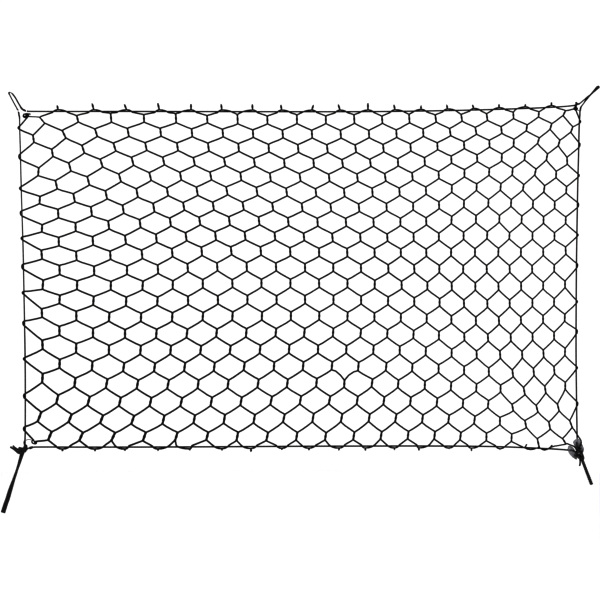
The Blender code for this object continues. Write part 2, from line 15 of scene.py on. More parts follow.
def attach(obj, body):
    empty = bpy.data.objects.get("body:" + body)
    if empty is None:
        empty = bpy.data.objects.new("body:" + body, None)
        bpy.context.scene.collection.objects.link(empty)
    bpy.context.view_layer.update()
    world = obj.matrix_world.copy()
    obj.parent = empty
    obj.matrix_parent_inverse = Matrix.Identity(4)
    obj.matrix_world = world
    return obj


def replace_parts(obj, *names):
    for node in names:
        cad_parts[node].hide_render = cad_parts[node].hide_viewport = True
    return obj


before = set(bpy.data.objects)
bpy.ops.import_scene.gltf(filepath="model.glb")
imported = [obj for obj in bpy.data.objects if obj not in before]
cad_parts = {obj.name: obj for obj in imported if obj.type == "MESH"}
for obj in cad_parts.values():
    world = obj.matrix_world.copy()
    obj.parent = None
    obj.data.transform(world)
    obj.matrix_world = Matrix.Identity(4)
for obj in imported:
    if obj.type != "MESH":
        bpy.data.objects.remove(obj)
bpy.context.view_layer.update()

MM = 0.001
TURN = 2 * math.pi
RIGHTWARDS = Vector((1, 0, 0))
BACKWARDS = Vector((0, 1, 0))

# ---- camera, as the photograph was taken: face on, from far away
PHOTO_WIDTH = 1080.0            # what the 600 pixel frame spans at the net, in millimetres
PHOTO_CENTRE = (-1.8, 339.7)    # across and down
CAMERA_AWAY = 4200.0
SENSOR = 36.0
VIEW_GAMMA = 0.45

# ---- driving sizes, in millimetres
# The twine's thickness at the left and at the right: it is thinner where the net is stretched more.
TWINE_TOP = (2.8, 2.55)
TWINE_LOW = (3.4, 2.5)
TWINE_SLACK = 0.04              # the twine is this much fuller midway between the sides
THIN_CORNER = (-480, 6)         # round here, near the upper left corner, it is thinner by a share
THIN_REACH, THIN_SHARE = 18.0, 0.42
BAR_PLY = 0.97                  # a twine inside a bar, as a share of its own thickness
BAR_SLACK = 0.25                # the slack bars of the lower left corner are this much fuller
BAR_SPREAD = 0.22               # from a bar's middle to each twine's, as a share of a twine's thickness
BAR_LENGTH, BAR_LENGTH_LOW = 15.6, 17.0     # at the top and at the bottom of the net
BAR_SHORTER = 3.3               # bars are this much shorter at the right side
BAR_TURNS = 1
BAR_LEAN = 1.75                 # bars lean this many times as far as their column does
CORNER_TWINE = 2.5
BEND = 1.3                      # how far from a bar or turn a twine has straightened
STRAP_WIDTH = 7.8
ROPE_WIDTH = 5.8

# ---- the net's counts and outer sizes
COLUMNS = 40                    # half columns from the left side run to the right one
ROWS = 21
NET_LEFT, NET_WIDTH, NET_HEIGHT = -500, 1000, 600

# Where the stretched net lies, by half column across and by row down.
NET_COLUMNS = (0, 2, 6, 12, 20, 26, 32, 38, 40)
NET_ROWS = (-1, 0, 1, 3, 5, 9, 11, 13, 15, 17, 19, 20, 21)
ACROSS = (
    (-507, -467, -343, -169, 45, 194, 334, 475, 503),
    (-506, -466, -342, -169, 45, 195, 335, 474, 501),
    (-505, -455, -340, -168, 46, 196, 338, 469, 500),
    (-502, -444.5, -331, -165, 49, 198.5, 339.5, 462.5, 496),
    (-502, -438, -322.5, -160, 52.5, 201.5, 338, 457.5, 497),
    (-499, -435.5, -314, -152, 58, 203, 334.5, 456, 495),
    (-499, -433.5, -313.5, -150, 58, 204.5, 335, 456, 495),
    (-498, -435, -316, -150, 58.5, 203, 336, 455.5, 494),
    (-497, -434.5, -317, -154, 56.5, 201.5, 337.5, 456, 494),
    (-496, -435.5, -322, -158, 54, 199, 338, 459, 491),
    (-497, -443.5, -331, -165, 47.5, 195, 335, 468, 496),
    (-497, -451, -338.5, -168.5, 44, 192.5, 333.5, 471.5, 497),
    (-497, -459, -345, -174, 41, 190, 333, 476, 498),
)
DOWN = (
    (6, -12, -14, -12, -11, -13, -18, -22, -8),
    (30, 16, 12.5, 14.5, 15.5, 14, 10.5, 3.5, 17),
    (56, 44, 38, 39, 41, 39.5, 34.5, 29.5, 40),
    (117, 104.5, 91, 90.5, 93.5, 91, 83.5, 83, 93),
    (163, 158.5, 148.5, 143.5, 146.5, 144, 136, 140.5, 142),
    (255, 260, 258.5, 251.5, 254, 254.5, 253, 253, 250),
    (306, 312, 314, 310, 310, 313.5, 315.5, 313, 310),
    (359, 366.5, 371, 369, 368.5, 372, 377, 373, 370),
    (415, 424.5, 430, 429, 428.5, 431, 438, 435.5, 429),
    (474, 485.5, 491, 491, 488.5, 491.5, 498.5, 500, 490),
    (543, 551, 555, 554, 552, 552.5, 556.5, 566, 556),
    (568, 583, 585.5, 585, 585, 583, 586, 592, 580),
    (592, 615, 617, 616, 616, 614, 616, 620, 600),
)
# Every second bar of the first row is drawn up against the top cord, as far as the last half column.
DRAWN_UP, DRAWN_UP_LAST = 1.3, 26
# Single bars that are pulled out of line, by half column and row: top across and down, bottom the same.
PULLED_BARS = {
    (2, 0): (-470.7, 10.3, -461.2, 21.8),
    (4, 0): (-403.7, 7.6, -400.9, 19.6),
    (36, 0): (428.3, 0.5, 427.6, 10.5),
    (38, 0): (476.2, -1.4, 471.6, 8.3),
    (1, 1): (-482.6, 42.7, -480.6, 56.2),
    (35, 1): (407.1, 24.0, 405.5, 35.6),
    (37, 1): (451.4, 21.8, 448.2, 33.0),
    (39, 1): (489.4, 27.5, 485.5, 38.3),
    (2, 2): (-448.7, 67.9, -446.4, 81.7),
    (36, 2): (428.9, 47.5, 425.7, 58.7),
    (38, 2): (466.0, 51.4, 463.0, 62.6),
    (1, 3): (-472.1, 101.5, -473.2, 116.2),
    (13, 3): (-139.0, 83.9, -135.9, 98.1),
    (39, 3): (478.8, 82.3, 479.3, 95.8),
    (36, 4): (423.2, 103.4, 420.5, 115.4),
    (38, 4): (459.4, 107.5, 459.0, 120.1),
    (1, 5): (-469.8, 153.0, -470.7, 166.7),
    (35, 5): (401.0, 131.4, 399.2, 142.4),
    (1, 7): (-465.9, 203.9, -466.6, 217.5),
    (34, 8): (375.5, 218.2, 374.8, 230.2),
    (39, 9): (476.1, 243.7, 476.8, 257.9),
    (1, 11): (-464.0, 303.7, -465.3, 320.8),
    (34, 12): (375.5, 339.1, 375.8, 352.4),
    (35, 13): (395.6, 369.4, 396.2, 382.0),
    (22, 16): (103.9, 451.3, 102.6, 467.5),
    (34, 16): (380.3, 464.8, 382.0, 478.3),
    (38, 16): (455.2, 459.0, 456.5, 473.2),
    (21, 17): (78.3, 483.7, 77.6, 497.2),
    (35, 17): (400.5, 496.3, 403.2, 510.7),
    (39, 17): (475.7, 487.4, 475.6, 500.9),
    (34, 18): (379.8, 526.9, 382.1, 539.5),
    (36, 18): (423.2, 528.6, 426.5, 541.8),
    (1, 19): (-467.3, 541.0, -474.0, 558.7),
    (35, 19): (403.0, 556.4, 405.7, 569.9),
    (39, 19): (483.5, 556.2, 488.3, 569.2),
    (2, 20): (-448.8, 576.4, -455.2, 592.2),
    (34, 20): (379.4, 580.4, 378.7, 594.7),
    (36, 20): (425.3, 588.8, 428.8, 605.4),
    (38, 20): (470.7, 588.6, 477.0, 599.2),
}

# A hand-worked net is uneven: how far a bar's middle strays across, in depth and up, how many degrees
# it turns, the share of its length that it gains or loses, and how far a leg waves sideways.
STRAY = (0.5, 0.7, 0.45)
STRAY_TURN = 3.0
STRAY_LENGTH = 0.06
LEG_WAVE = 0.3
# Steps and start of the noise that the unevenness is drawn from, and its gain.
NOISE_STEPS, NOISE_START, NOISE_GAIN = (1.37, 2.11, 3.7), (0.31, 0.17, 0.0), 1.6

# The side runs' turns, from the top: (down, half the length that runs along the cord's outside).
LEFT_TURNS = (
    (30, 1.0), (82, 3.3), (139, 1.4), (184, 3.0), (229, 1.4), (280, 3.2), (327, 1.2), (382, 3.0),
    (446, 1.3), (513, 3.1), (572, 3.0),
)
RIGHT_TURNS = (
    (19, 1.2), (61, 2.8), (116, 1.3), (169, 3.0), (223, 1.2), (278, 2.9), (343, 1.3), (397, 3.1),
    (462, 1.3), (527, 3.0),
)
# A turn spans this much more, up and down, than its part along the cord. It swings out by a power of
# a sine, rounder for the turns whose part along the cord is short.
TURN_MORE = 1.6
SHORT_TURN, SHORT_SWING, LONG_SWING = 2, 0.8, 0.5

# The cut ends over the top run, from the left: where the twine from the left passes the cord, the end's
# own root and tip across, how high the tip stands, and where the twine from the right passes.
TOP_ENDS = (
    (-446, -437.5, -438.6, 9.8, -423), (-381, -373, -375.7, 13.4, -360), (-329, -314, -317.5, 12.0, -305),
    (-262, -255, -257.6, 14.2, -242), (-215, -198, -198, 12.9, -190), (-149, -142.5, -143.6, 12.5, -126),
    (-105, -87.2, -87.6, 12.4, -80), (-42, -34.8, -36.2, 11.4, -22), (4, 19.4, 22, 10.9, 27),
    (63, 70.2, 67.4, 11.9, 81), (108, 120.6, 120.4, 14.6, 129), (162, 169.2, 167.4, 11.0, 183),
    (204, 216, 216, 8.2, 224), (257, 263.6, 262.6, 9.3, 277), (305, 311, 309, 8.6, 321),
    (346, 356.4, 356.4, 8.2, 366), (389, 403.2, 404, 6.8, 411), (440, 450.6, 450.9, 8.0, 458.5),
)
# The ends under the bottom run: where the twine from the left passes the cord, the tip across and how
# far it hangs under the cord, and where the twine from the right passes.
BOTTOM_ENDS = (
    (-439, -429.3, 6.4, -418), (-383, -370.8, 6.2, -357), (-331, -317, 5.6, -311), (-266, -257.4, 5.6, -241),
    (-220, -200.4, 5.2, -197), (-155, -142.2, 5.6, -132), (-104, -90, 8.2, -81), (-43, -34.2, 5.2, -25),
    (3.5, 14.4, 6.2, 25), (54, 68.4, 6.3, 77), (110, 116, 7.0, 130), (157, 168.3, 5.8, 176),
    (209, 212.4, 7.1, 228), (257, 266.4, 3.8, 275), (301, 306.9, 7.4, 320), (351, 358.2, 4.2, 367),
)
# The last two at the right are hooked up over the cord instead: each twine's way there, by its half
# column and by its hand, -1 for the twine from the left.
HOOKED_ENDS = {
    (35, -1): ((397, 603.2, -2.6), (401.5, 605.4, -3.2), (404.0, 603.0, -3.2), (405.9, 599.4, -2.6)),
    (35, 1): (
        (424, 606.4, 3.0), (419, 608.4, 2.2), (413.6, 608.9, 0.4), (407.5, 608.0, -1.6), (403, 606, -3),
    ),
    (37, -1): (
        (431, 606.6, -3.0), (434.4, 608.8, -2.4), (438.6, 609.8, 0), (444.5, 608.4, 2.4), (449, 605, 3.2),
        (452.4, 601.2, 2.8),
    ),
    (37, 1): ((456, 602.6, -2.4), (450.8, 604.2, -3.2), (446.6, 605.4, -3.4)),
}
OVER_CORD = 2.8                 # twine's centre to cord's centre where it passes
UNDER_CORD = 3.4                # the same under the bottom run, where the twines hang looser
BESIDE_CORD = {-1: 2.8, 1: 2.2}         # the same beside the left run and the right one, where it is taut
# Where a twine that has passed the cord lies, from its crossing (0) to the middle of its end (1):
# the share of the way, of its height over the cord, and of its depth.
OVER_AND_ROUND = (
    (-0.22, -0.62, 0.96), (0.0, 0.04, 1.0), (0.28, 0.52, 0.86), (0.6, 0.88, 0.5), (0.86, 1.0, 0.2),
)
END_TURNS = 0.8                 # how far the two twines of a cut end are wound round each other
LOW_END_DEPTHS = (0.25, 0.15)   # a lower end's depth at its root and tip, as shares of OVER_CORD
LOW_END_SPREAD = 0.7            # and its twines' spread, as a share of a bar's
LOW_END_LEAST = 0.6             # and how far it hangs past the cord at least
BOTTOM_DOWN = 606               # about where the bottom run lies

# The net's own corners, worked off in a small knot: (across, down).
NET_UPPER_LEFT = (-490.8, 9.2)
NET_UPPER_RIGHT = (494.1, -4.3)
NET_LOWER_LEFT = ((-481.3, 592.2), (-479.4, 594.8))     # the twine from the left, and from the right
LOWER_RIGHT_SIDE_TWINE = (
    (491.4, 573.0, -3.0), (495.4, 580.0, -3.6), (499.0, 585.5, -3.6), (502.8, 591.3, -4.4),
    (503.7, 594.4, -5.2), (503.5, 597.6, -6.6), (502.5, 600.4, -7.8), (500.7, 603.1, -8.8),
    (499.6, 608.5, -8.0),
)
LOWER_RIGHT_BOTTOM_TWINE = (
    (478.2, 597.7, -5.2), (482.1, 599.4, -6.5), (486.4, 601.1, -7.5), (490.2, 602.6, -8.3),
    (492.8, 605.2, -8.6), (494.4, 608.4, -8.4), (495.9, 611.3, -7.6),
)

# Every leg hangs in a slight curve, more so low in the net. Round one bar they stand up instead.
SAG_TOP, SAG_LOW = 0.3, 1.0
SLACK_BAR = (21, 17)
SLACK = -4.2

# The border cord's centre line, in runs that follow one another.
LEFT_RUN = (
    (-496.4, 575), (-496.3, 484), (-496.8, 430), (-498.4, 340), (-500.2, 250),
    (-501.8, 196), (-503.6, 138), (-505.2, 70), (-506.4, 28), (-506.5, 16),
)
UPPER_LEFT_THREADED = ((-506.8, 9.8), (-507.7, 6), (-508.2, 2.4))
UPPER_LEFT_RISE = ((-510.3, -3.2), (-514.3, -10.4), (-518.2, -17.6), (-522, -24.8), (-524.4, -29.6))
UPPER_LEFT_TIP = ((-525.6, -32.2), (-525.4, -33.6, 0.2))
UPPER_LEFT_CROWN = ((-524.0, -34.2, 1.0), (-521.8, -33.2, 0.6))
UPPER_LEFT_FALL = ((-519.3, -31.2), (-516.9, -28.2), (-514.4, -24.8), (-510.3, -17.6), (-506.3, -10.6))
UPPER_LEFT_BEND = ((-503.1, -5.4), (-501.3, -3.7), (-499.2, -2.3), (-496, -0.9))
TOP_RUN = (
    (-490, 0.15), (-300, 0.3), (-100, 0.7), (0, 0.8), (88, 0.75), (178, 0.1), (304, -2.1), (412, -5.4),
    (465, -8.0), (489, -10.1),
)
UPPER_RIGHT_RISE = ((494.5, -11, -0.2), (497.6, -12.7, -0.3), (500.4, -13.4, -0.5))
UPPER_RIGHT_OUTWARDS = ((502.6, -14.6, -0.8), (506.0, -17.7, -1.2), (509.4, -20.4, -1.6))
UPPER_RIGHT_LOOP = (
    (513, -23.4, -1.8), (517, -26.7, -1.9), (521.5, -30.2, -1.9), (525.4, -33.8, -1.8), (529.7, -37.4, -1.7),
    (534.1, -41, -1.2), (536.4, -43.2, -0.4), (535.4, -44.8, 0.3), (533.2, -44, 0.9), (531, -41.6, 1.4),
    (527.7, -37.4, 1.8), (524.7, -33.8, 1.9), (521.6, -30.2, 1.9), (518.3, -26.6, 1.9), (515.5, -22.9, 1.8),
    (512.2, -19.2, 1.4),
)
UPPER_RIGHT_INWARDS = ((509.9, -15.8, 0.9), (507.4, -12.4, 0.4), (505.2, -9.6, 0.1))
UPPER_RIGHT_FALL = ((503.7, -7.0), (503, -3.8))
RIGHT_RUN = (
    (502.1, 0.6), (502, 6), (500.8, 25), (499.5, 82), (498.1, 136), (495.9, 271),
    (495.3, 352), (495.1, 433), (495.9, 514), (496.8, 574), (497.1, 590),
)
LOWER_RIGHT_CORNER = (
    (498, 601), (500, 608.5), (498.5, 612.4), (492.5, 612.4), (481, 609.8),
)
BOTTOM_RUN = (
    (425, 606.4), (340, 603.4), (214, 602.5), (100, 602.7), (-2, 603),
    (-140, 603.8), (-281, 604.4), (-400, 604.5), (-477, 604.4),
)
LOWER_LEFT_CORNER = ((-486, 605.3), (-492.3, 607), (-496, 604.4), (-496.8, 597))
# The cord is thin where it is taut and full where it turns: each run with its thickness.
CORD_RUNS = (
    (LEFT_RUN[:3], 2.65), (LEFT_RUN[3:5], 2.35), (LEFT_RUN[5:], 2.15), (UPPER_LEFT_THREADED, 2.9),
    (UPPER_LEFT_RISE, 2.1), (UPPER_LEFT_TIP, 2.9), (UPPER_LEFT_CROWN, 1.4), (UPPER_LEFT_FALL, 2.6),
    (UPPER_LEFT_BEND, 3.4), (TOP_RUN, 2.55), (UPPER_RIGHT_RISE, 3.3), (UPPER_RIGHT_OUTWARDS, 2.3),
    (UPPER_RIGHT_LOOP, 2.8), (UPPER_RIGHT_INWARDS, 2.2), (UPPER_RIGHT_FALL, 3.1), (RIGHT_RUN, 2.6),
    (LOWER_RIGHT_CORNER, 2.8), (BOTTOM_RUN, 2.7), (LOWER_LEFT_CORNER, 2.8),
)

# How finely the twines, the cut ends and the side turns are drawn.
HELIX_STEPS = 7
END_STEPS = 4
TURN_STEPS = 6
LEG_WAYS = (0.3, 0.7)


def place(across, down, depth=0.0):
    """A place as a vector in millimetres, (across, depth, up)."""
    return Vector((across, depth, -down))


def spot(across, down, depth=0.0):
    """The same as a point in metres."""
    return Vector((across * MM, depth * MM, -down * MM))


def as_places(table):
    """The places of a table's rows, as vectors in millimetres."""
    return [place(*row[:3]) for row in table]


def cubic(t, start, leave, end, arrive):
    """A value or point on the way from start to end, which it leaves and reaches with these slopes."""
    return (
        (1 + 2 * t) * (1 - t) ** 2 * start
        + t * (1 - t) ** 2 * leave
        + t * t * (3 - 2 * t) * end
        + t * t * (t - 1) * arrive
    )


def between(stations, values, at):
    """A smooth curve through values at the stations, straight on past both ends."""
    count = len(stations)
    slopes = []
    for i in range(count):
        low, high = max(i - 1, 0), min(i + 1, count - 1)
        slopes.append((values[high] - values[low]) / (stations[high] - stations[low]))
    if at <= stations[0]:
        return values[0] + slopes[0] * (at - stations[0])
    if at >= stations[-1]:
        return values[-1] + slopes[-1] * (at - stations[-1])
    i = max(n for n in range(count - 1) if stations[n] <= at)
    span = stations[i + 1] - stations[i]
    return cubic((at - stations[i]) / span, values[i], span * slopes[i], values[i + 1], span * slopes[i + 1])


def curve_through(points, closed=False, step=1.5, least=1):
    """Points at most a step apart on a smooth curve through a route's own points, in millimetres."""
    count = len(points)
    route = []
    for i in range(count if closed else count - 1):
        if closed:
            before, start, end, after = (points[(i + n) % count] for n in (-1, 0, 1, 2))
        else:
            before, start = points[max(i - 1, 0)], points[i]
            end, after = points[i + 1], points[min(i + 2, count - 1)]
        length = (end - start).length
        leave = (end - before) * length / max(length + (start - before).length, 1e-6)
        arrive = (after - start) * length / max((after - end).length + length, 1e-6)
        parts = max(least, round(length / step))
        route += [cubic(n / parts, start, leave, end, arrive) for n in range(parts)]
    return route if closed else route + [points[-1]]


def uneven(first, second, third=0):
    """A number from -1 to 1 that is always the same for the same seed."""
    seed = (first, second, third)
    at = Vector([n * step + start for n, step, start in zip(seed, NOISE_STEPS, NOISE_START)])
    return max(-1.0, min(1.0, NOISE_GAIN * noise.noise(at)))


def round_way(way):
    """Two directions at right angles to a way and to each other."""
    wide = way.orthogonal().normalized()
    return wide, way.cross(wide)


def flat_way(way):
    """The same for a way in the net's own plane, with the first direction in that plane too."""
    wide = BACKWARDS.cross(way).normalized()
    return wide, way.cross(wide)


def turned(wide, thin, angle):
    """The direction at an angle from wide towards thin."""
    return wide * math.cos(angle) + thin * math.sin(angle)


# ---- yarns, cords and braids

SHARP_YARN, SHARP_FILM = 70, 50         # edges past these degrees aren't smoothed over
ROUND_END, CUT_END = 0.55, 0.12         # how far a yarn's end bulges, as a share of its radius


def in_scene(name, data):
    """A new object in the scene, from its mesh, lens or light."""
    item = bpy.data.objects.new(name, data)
    bpy.context.scene.collection.objects.link(item)
    return item


def piece(name, points, faces, mapped, finish, sharp):
    """One smooth mesh with its own map, moving with the net's one body."""
    mesh = bpy.data.meshes.new(name)
    mesh.from_pydata([tuple(point) for point in points], [], faces)
    layer = mesh.uv_layers.new(name="along_and_round")
    layer.data.foreach_set("uv", np.array(mapped, np.float32).ravel())
    mesh.materials.append(finish)
    mesh.shade_smooth()
    mesh.set_sharp_from_angle(angle=math.radians(sharp))
    mesh.validate()
    item = in_scene(name, mesh)
    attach(item, "root")
    return item


def band(near, far, sides, start, end):
    """The faces between the rings whose first points are near and far, and their map."""
    faces, mapped = [], []
    for n in range(sides):
        m = (n + 1) % sides
        faces.append((near + n, near + m, far + m, far + n))
        turn, next_turn = n / sides, (n + 1) / sides
        mapped += [(start, turn), (start, next_turn), (end, next_turn), (end, turn)]
    return faces, mapped


class Skein:
    """Yarns gathered into one mesh, each with its own map: girths along it, and once round it."""

    def __init__(self):
        self.points = []
        self.faces = []
        self.map = []

    def yarn(self, path, radius, sides=8, closed=False, flat=1.0, facing=None, round_ends=True):
        """Sweeps a round or flattened section down a path in millimetres; radius is one or one a point."""
        count = len(path)
        radii = radius if isinstance(radius, (list, tuple)) else [radius] * count
        along = []
        for i in range(count):
            if closed:
                step = path[(i + 1) % count] - path[i - 1]
            else:
                step = path[min(i + 1, count - 1)] - path[max(i - 1, 0)]
            along.append(step.normalized())
        side = along[0].orthogonal()
        first = len(self.points)
        girth = TURN * sum(radii) / count
        travel = []
        for i in range(count):
            travel.append(travel[-1] + (path[i] - path[i - 1]).length / girth if i else 0.0)
            if facing:
                side = facing[i]
            elif i:
                side = along[i - 1].rotation_difference(along[i]) @ side
            side = (side - along[i] * side.dot(along[i])).normalized()
            thin = along[i].cross(side)
            for n in range(sides):
                angle = TURN * n / sides
                off = side * (radii[i] * math.cos(angle)) + thin * (radii[i] * flat * math.sin(angle))
                self.points.append((path[i] + off) * MM)
        if closed:
            travel.append(travel[-1] + (path[0] - path[-1]).length / girth)
        for i in range(len(travel) - 1):
            near, far = first + i * sides, first + (i + 1) % count * sides
            faces, mapped = band(near, far, sides, travel[i], travel[i + 1])
            self.faces += faces
            self.map += mapped
        if closed:
            return
        bulge = ROUND_END if round_ends else CUT_END
        for i, outwards in ((0, -1), (count - 1, 1)):
            ring = first + i * sides
            tip = len(self.points)
            self.points.append((path[i] + along[i] * (outwards * radii[i] * bulge)) * MM)
            for n in range(sides):
                corner = (ring + n, ring + (n + 1) % sides)[::outwards]
                self.faces.append((*corner, tip))
                self.map += [(travel[i], n / sides)] * 3

    def made(self, name, finish):
        """The yarns as one piece."""
        return piece(name, self.points, self.faces, self.map, finish, SHARP_YARN)


# ---- materials

# Base colours: a yarn's deep and worn places and its ridges' painted highlight or its grooves' painted
# shade, then the film's, whose gathered colour is partly painted shade, and the floor's.
TWINE_DEEP, TWINE_WORN, TWINE_RIDGE_HIGHLIGHT = (0.01, 0.01, 0.0108), (0.02, 0.0198, 0.021), (0.034, 0.0335, 0.035)
CORD_DEEP, CORD_WORN, CORD_GROOVE_SHADE = (0.021, 0.021, 0.0222), (0.032, 0.0316, 0.033), (0.016, 0.016, 0.0168)
BRAID_DEEP, BRAID_WORN, BRAID_RIDGE_HIGHLIGHT = (0.018, 0.018, 0.019), (0.032, 0.0316, 0.033), (0.055, 0.054, 0.0565)
FILM_SMOKE, FILM_PALE, FILM_GATHERED_SHADE = (0.18, 0.18, 0.195), (0.27, 0.27, 0.29), (0.055, 0.055, 0.06)
FLOOR_GREY, FLOOR_PALE = (0.93, 0.93, 0.93), (0.96, 0.96, 0.96)
# Each kind of thread's pale and dark.
THREAD_COLOURS = {
    "clear": ((0.93, 0.91, 0.92), (0.84, 0.81, 0.82)),
    "smoky": ((0.17, 0.14, 0.145), (0.09, 0.07, 0.075)),
}
GRAIN_ROUGHNESS = 0.55


class Value:
    """A shader socket that Python's own operators add nodes to."""

    def __init__(self, tree, socket):
        self.tree = tree
        self.socket = socket

    def maths(self, operation, *others, swap=False):
        values = [self, *others]
        if swap:
            values = [others[0], self, *others[1:]]
        return self.tree.add("ShaderNodeMath", {"operation": operation}, *values)

    def __add__(self, other):
        return self.maths("ADD", other)

    __radd__ = __add__

    def __mul__(self, other):
        return self.maths("MULTIPLY", other)

    __rmul__ = __mul__

    def __sub__(self, other):
        return self.maths("SUBTRACT", other)

    def __rsub__(self, other):
        return self.maths("SUBTRACT", other, swap=True)

    def sine(self):
        return self.maths("SINE")

    def highest(self, other):
        return self.maths("MAXIMUM", other)

    def clamped(self, low, high):
        """Smoothly 0 to 1 as the value goes from low to high."""
        settings = {"clamp": True, "interpolation_type": "SMOOTHSTEP"}
        return self.tree.add("ShaderNodeMapRange", settings, self, low, high, 0.0, 1.0)


class Finish:
    """One material being written: its nodes come from add, and its shader's sockets from set."""

    def __init__(self, name, **constants):
        self.material = bpy.data.materials.new(name)
        self.material.use_nodes = True
        self.nodes = self.material.node_tree.nodes
        self.links = self.material.node_tree.links
        self.shader = self.nodes["Principled BSDF"]
        for socket, value in constants.items():
            self.shader.inputs[socket.replace("_", " ")].default_value = value

    def add(self, kind, settings=None, *values, output=0, **named):
        """A node with its settings first, then its sockets in order or by name; None leaves one alone."""
        node = self.nodes.new(kind)
        for key, value in (settings or {}).items():
            setattr(node, key, value)
        sockets = list(zip(node.inputs, values))
        sockets += [(node.inputs[name.replace("_", " ")], value) for name, value in named.items()]
        for socket, value in sockets:
            if isinstance(value, Value):
                self.links.new(value.socket, socket)
            elif value is not None:
                socket.default_value = value
        return Value(self, node.outputs[output])

    def map(self):
        """How far along the piece a point lies, and how far round it."""
        coordinates = self.add("ShaderNodeTexCoord", output="UV")
        along = self.add("ShaderNodeSeparateXYZ", None, coordinates)
        return along, Value(self, along.socket.node.outputs["Y"])

    def grain(self, scale, detail):
        """Noise over the piece's own coordinates, in metres."""
        position = self.add("ShaderNodeTexCoord", output="Object")
        return self.add(
            "ShaderNodeTexNoise", None, Vector=position, Scale=scale, Detail=detail,
            Roughness=GRAIN_ROUGHNESS,
        )

    def mix(self, factor, first, second):
        """Two colours mixed: a Mix node's colours are its seventh and eighth sockets."""
        colours = [colour if isinstance(colour, Value) else (*colour, 1) for colour in (first, second)]
        return self.add("ShaderNodeMix", {"data_type": "RGBA"}, factor, *[None] * 5, *colours, output=2)

    def bump(self, height, distance, strength):
        return self.add("ShaderNodeBump", None, Height=height, Distance=distance, Strength=strength)

    def set(self, **sockets):
        for socket, value in sockets.items():
            self.links.new(value.socket, self.shader.inputs[socket.replace("_", " ")])
        return self.material


def laid_yarns(finish, pitch, starts):
    """Ridges that wind round a twine: pitch is a full turn's length, in girths."""
    along, round_it = finish.map()
    phase = along * (TURN * starts / pitch) + round_it * (TURN * starts)
    return phase.sine() * 0.5 + 0.5


def plaited_yarns(finish, pitch, starts):
    """Yarns that cross over and under each other round a cord, one set each way."""
    along, round_it = finish.map()
    run, turn = along * (TURN * starts / pitch), round_it * (TURN * starts)
    one, other = (run + turn).sine(), (run - turn).sine()
    return one.highest(other) * 0.5 + 0.5


def black_twine():
    """Laid twine, painted darker between its plies and lighter on their ridges as painted shade and
    highlight, and darkest where it isn't worn.
    """
    finish = Finish("black_twine", IOR=1.48, Specular_IOR_Level=0.22, Sheen_Weight=0.06, Sheen_Roughness=0.5)
    plies = laid_yarns(finish, 0.8, 3)
    fuzz = finish.grain(2600, 2)
    worn = finish.grain(38, 3)
    dark = finish.mix(worn.clamped(0.4, 0.7), TWINE_DEEP, TWINE_WORN)
    # painted shade and highlight: the grooves between the plies darker, their ridges lighter
    colour = finish.mix(plies * 0.6, dark, TWINE_RIDGE_HIGHLIGHT)
    relief = finish.bump(plies + fuzz * 0.35, 0.00028, 0.8)
    return finish.set(Base_Color=colour, Roughness=0.58 + worn * 0.22, Normal=relief)


def black_cord():
    """Plaited cord, its grooves painted darker than its yarns, as painted shade."""
    finish = Finish("black_cord", IOR=1.48, Specular_IOR_Level=0.28, Sheen_Weight=0.05, Sheen_Roughness=0.45)
    plait = plaited_yarns(finish, 1.2, 4)
    fuzz = finish.grain(2300, 2)
    worn = finish.grain(30, 3)
    dark = finish.mix(worn.clamped(0.38, 0.7), CORD_DEEP, CORD_WORN)
    # painted shade: the plait's grooves darker than its yarns
    colour = finish.mix(plait, CORD_GROOVE_SHADE, dark)
    relief = finish.bump(plait + fuzz * 0.22, 0.0003, 0.85)
    return finish.set(Base_Color=colour, Roughness=0.5 + worn * 0.2, Normal=relief)


def black_braid():
    """The ties' and lower knots' yarns, with a little more sheen than the net's."""
    finish = Finish("black_braid", IOR=1.48, Specular_IOR_Level=0.3, Sheen_Weight=0.08, Sheen_Roughness=0.4)
    strands = laid_yarns(finish, 0.9, 4)
    fuzz = finish.grain(2500, 2)
    worn = finish.grain(60, 3)
    dark = finish.mix(worn.clamped(0.35, 0.7), BRAID_DEEP, BRAID_WORN)
    # painted shade and highlight: the grooves between the strands darker, their ridges lighter
    colour = finish.mix(strands * 0.7, dark, BRAID_RIDGE_HIGHLIGHT)
    relief = finish.bump(strands + fuzz * 0.3, 0.00022, 0.8)
    return finish.set(Base_Color=colour, Roughness=0.5 + worn * 0.2, Normal=relief)


def grey_tape():
    """Smoke-grey film: creased along its length, and darker where its layers are gathered at the root and
    along its creases, partly for the stacked film and partly as painted shade.
    """
    finish = Finish("grey_tape", IOR=1.46, Specular_IOR_Level=0.5)
    along, round_it = finish.map()
    crease = finish.add("ShaderNodeCombineXYZ", None, along * 2.2, round_it * 26, 0.0)
    streaks = finish.add("ShaderNodeTexNoise", None, Vector=crease, Scale=1.0, Detail=3.0, Roughness=0.6)
    cloud = finish.grain(150, 2)
    # darker towards the root, where the film is gathered into the knot, and along the creases: partly more
    # layers of film, partly painted shade
    gathered = 1 - along.clamped(0.05, 0.7)
    layers_and_shade = (gathered * 0.7 + streaks.clamped(0.5, 0.72) * 0.35).clamped(0.0, 1.0)
    smoke = finish.mix(cloud.clamped(0.3, 0.7), FILM_SMOKE, FILM_PALE)
    return finish.set(
        Base_Color=finish.mix(layers_and_shade, smoke, FILM_GATHERED_SHADE), Roughness=0.3 + streaks * 0.25,
        Alpha=0.5 + cloud * 0.35 + layers_and_shade * 0.3, Normal=finish.bump(streaks, 0.0006, 0.7),
    )


def clear_thread(name, pale, dark):
    """See-through thread, clear or smoky."""
    finish = Finish(name, IOR=1.5, Specular_IOR_Level=0.55)
    haze = finish.grain(700, 2)
    colour = finish.mix(haze, dark, pale)
    return finish.set(Base_Color=colour, Roughness=0.22 + haze * 0.2, Alpha=0.72 + haze * 0.2)


# ---- the net's twines

